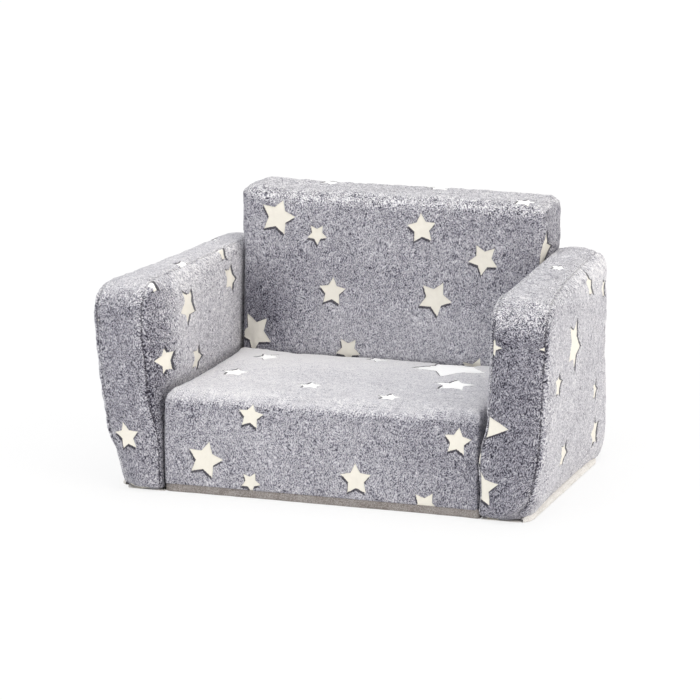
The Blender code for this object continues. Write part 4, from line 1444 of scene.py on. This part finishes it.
def slider_mesh(long, wide, tall):
    """A shield-shaped body with softened edges and a low bridge on top for a pull."""
    outline = list(SLIDER_PLAN) + [(along, -across) for along, across in SLIDER_PLAN[::-1]]
    outline = np.array(outline) * (long / 2, wide / 2)
    count = len(outline)
    points = [(along * scale, across * scale, level * tall)
              for scale, level in SLIDER_LAYERS for along, across in outline]
    faces = []
    for layer in range(len(SLIDER_LAYERS) - 1):
        for corner in range(count):
            first, second = layer * count + corner, layer * count + (corner + 1) % count
            faces.append((first, first + count, second + count, second))
    top = (len(SLIDER_LAYERS) - 1) * count
    for corner in range(count // 2 - 1):
        across = count - 1 - corner
        faces.append((top + corner, top + across, top + across - 1, top + corner + 1))
        faces.append((corner + 1, across - 1, across, corner))
    bridge = [(long * BRIDGE_REACH * math.cos(angle), 0.0,
               tall * (BRIDGE_FOOT + BRIDGE_RISE * math.sin(angle)))
              for angle in np.linspace(0, math.pi, BRIDGE_POINTS)]
    wire_points, wire_faces = tube(bridge, wide * BRIDGE_WIRE, BRIDGE_SIDES)
    return np.concatenate((points, wire_points)), np.concatenate((faces, wire_faces + len(points)))


zip_weave, zip_nylon, slider_plating = make_tape(), make_coil(), make_slider_metal()
COVER_BODIES = {"left_arm": "sofa_body", "right_arm": "sofa_body", "back": "sofa_body",
                "seat_base": "sofa_body", "flip_seat": "flip_seat"}

for zip_name, body in COVER_BODIES.items():
    facing, along, across, middle, reach = zip_run(zip_name)
    facing_out = -1 if zip_name == "seat_base" else 1
    slider_low, slider_high = [np.array(corner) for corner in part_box(zip_name + "_zip_slider")]
    base = middle[facing] - facing_out * reach[facing]
    tape = zip_piece(zip_name + "_zip_weave", zip_name, *tape_mesh(2 * reach[along]), base, facing_out)
    zip_weave.give(tape, "zip_tape")
    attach(tape, body)
    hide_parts(zip_name + "_zip_tape")
    coil = zip_piece(zip_name + "_zip_coil", zip_name, *coil_mesh(2 * reach[along] - COIL_MARGIN), base,
                     facing_out)
    zip_nylon.give(coil, "zip_tape")
    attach(coil, body)
    slider_size = slider_high - slider_low
    slider_base = (slider_low if facing_out > 0 else slider_high)[facing]
    points, faces = slider_mesh(slider_size[along], slider_size[across], slider_size[facing])
    points[:, 0] += (slider_low[along] + slider_high[along]) / 2 - middle[along]
    slider = zip_piece(zip_name + "_zip_runner", zip_name, points, faces, slider_base, facing_out)
    slider_plating.give(slider, "zip_slider")
    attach(slider, zip_name + "_slider")
    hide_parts(zip_name + "_zip_slider")


# Studio: a pale floor, soft lamps overhead, on the right and at the left front, and a white surround. To the
# camera and in mirrors the floor is mostly plain white, so only the shadow under the sofa's edges shows.

SURROUND_STRENGTH = 0.70
# Each lamp: the direction it shines from, its share of full white, its spread in degrees and its colour
OVERHEAD = ((0.10, 0.05, 0.99), 0.34, 70)
FROM_RIGHT = ((0.90, -0.25, 0.42), 0.31, 50, (1.0, 0.93, 0.84))
FROM_FRONT = ((-0.45, -0.85, 0.30), 0.18, 60)
FLOOR_SIZE = 60.0
FLOOR_WHITENING = 0.8


def add_lamp(name, towards, share, spread, colour=(1.0, 1.0, 1.0)):
    """A wide, soft lamp that gives a white surface facing it this share of full white."""
    data = bpy.data.lights.new(name, "SUN")
    data.color = colour
    data.energy = share * math.pi
    data.angle = math.radians(spread)
    lamp = bpy.data.objects.new(name, data)
    lamp.rotation_euler = Vector(towards).to_track_quat("Z", "Y").to_euler()
    bpy.context.scene.collection.objects.link(lamp)


add_lamp("overhead", *OVERHEAD)
add_lamp("from_right", *FROM_RIGHT)
add_lamp("from_front", *FROM_FRONT)

world = bpy.data.worlds.new("surround")
world.use_nodes = True
world.node_tree.nodes["Background"].inputs["Color"].default_value = (1.0, 1.0, 1.0, 1.0)
world.node_tree.nodes["Background"].inputs["Strength"].default_value = SURROUND_STRENGTH
bpy.context.scene.world = world

edge = FLOOR_SIZE / 2
floor = new_piece("floor", np.array([(-edge, -edge, 0), (edge, -edge, 0), (edge, edge, 0), (-edge, edge, 0)]),
                  np.array([(0, 1, 2, 3)]))
floor_paint = Finish("floor_paint")
floor_paint.set(Base_Color=tint(246, 246, 246), Roughness=0.9, Specular_IOR_Level=0.0)
by_camera, mirrored, through_glass = [floor_paint.node("ShaderNodeLightPath", {}, {}, "Is " + ray + " Ray")
                                      for ray in ("Camera", "Glossy", "Transmission")]
seen = by_camera.maths("ADD", by_camera + mirrored, through_glass, clamp=True) * FLOOR_WHITENING
white = floor_paint.node("ShaderNodeEmission", {}, {"Color": (1.0, 1.0, 1.0, 1.0), "Strength": 1.0})
lit = Value(floor_paint, floor_paint.shader.outputs[0])
whitened = floor_paint.node("ShaderNodeMixShader", {}, {0: seen, 1: lit, 2: white})
floor_paint.feed(floor_paint.tree.nodes["Material Output"].inputs["Surface"], whitened)
floor_paint.give(floor)

bpy.context.scene.view_settings.view_transform = "Standard"
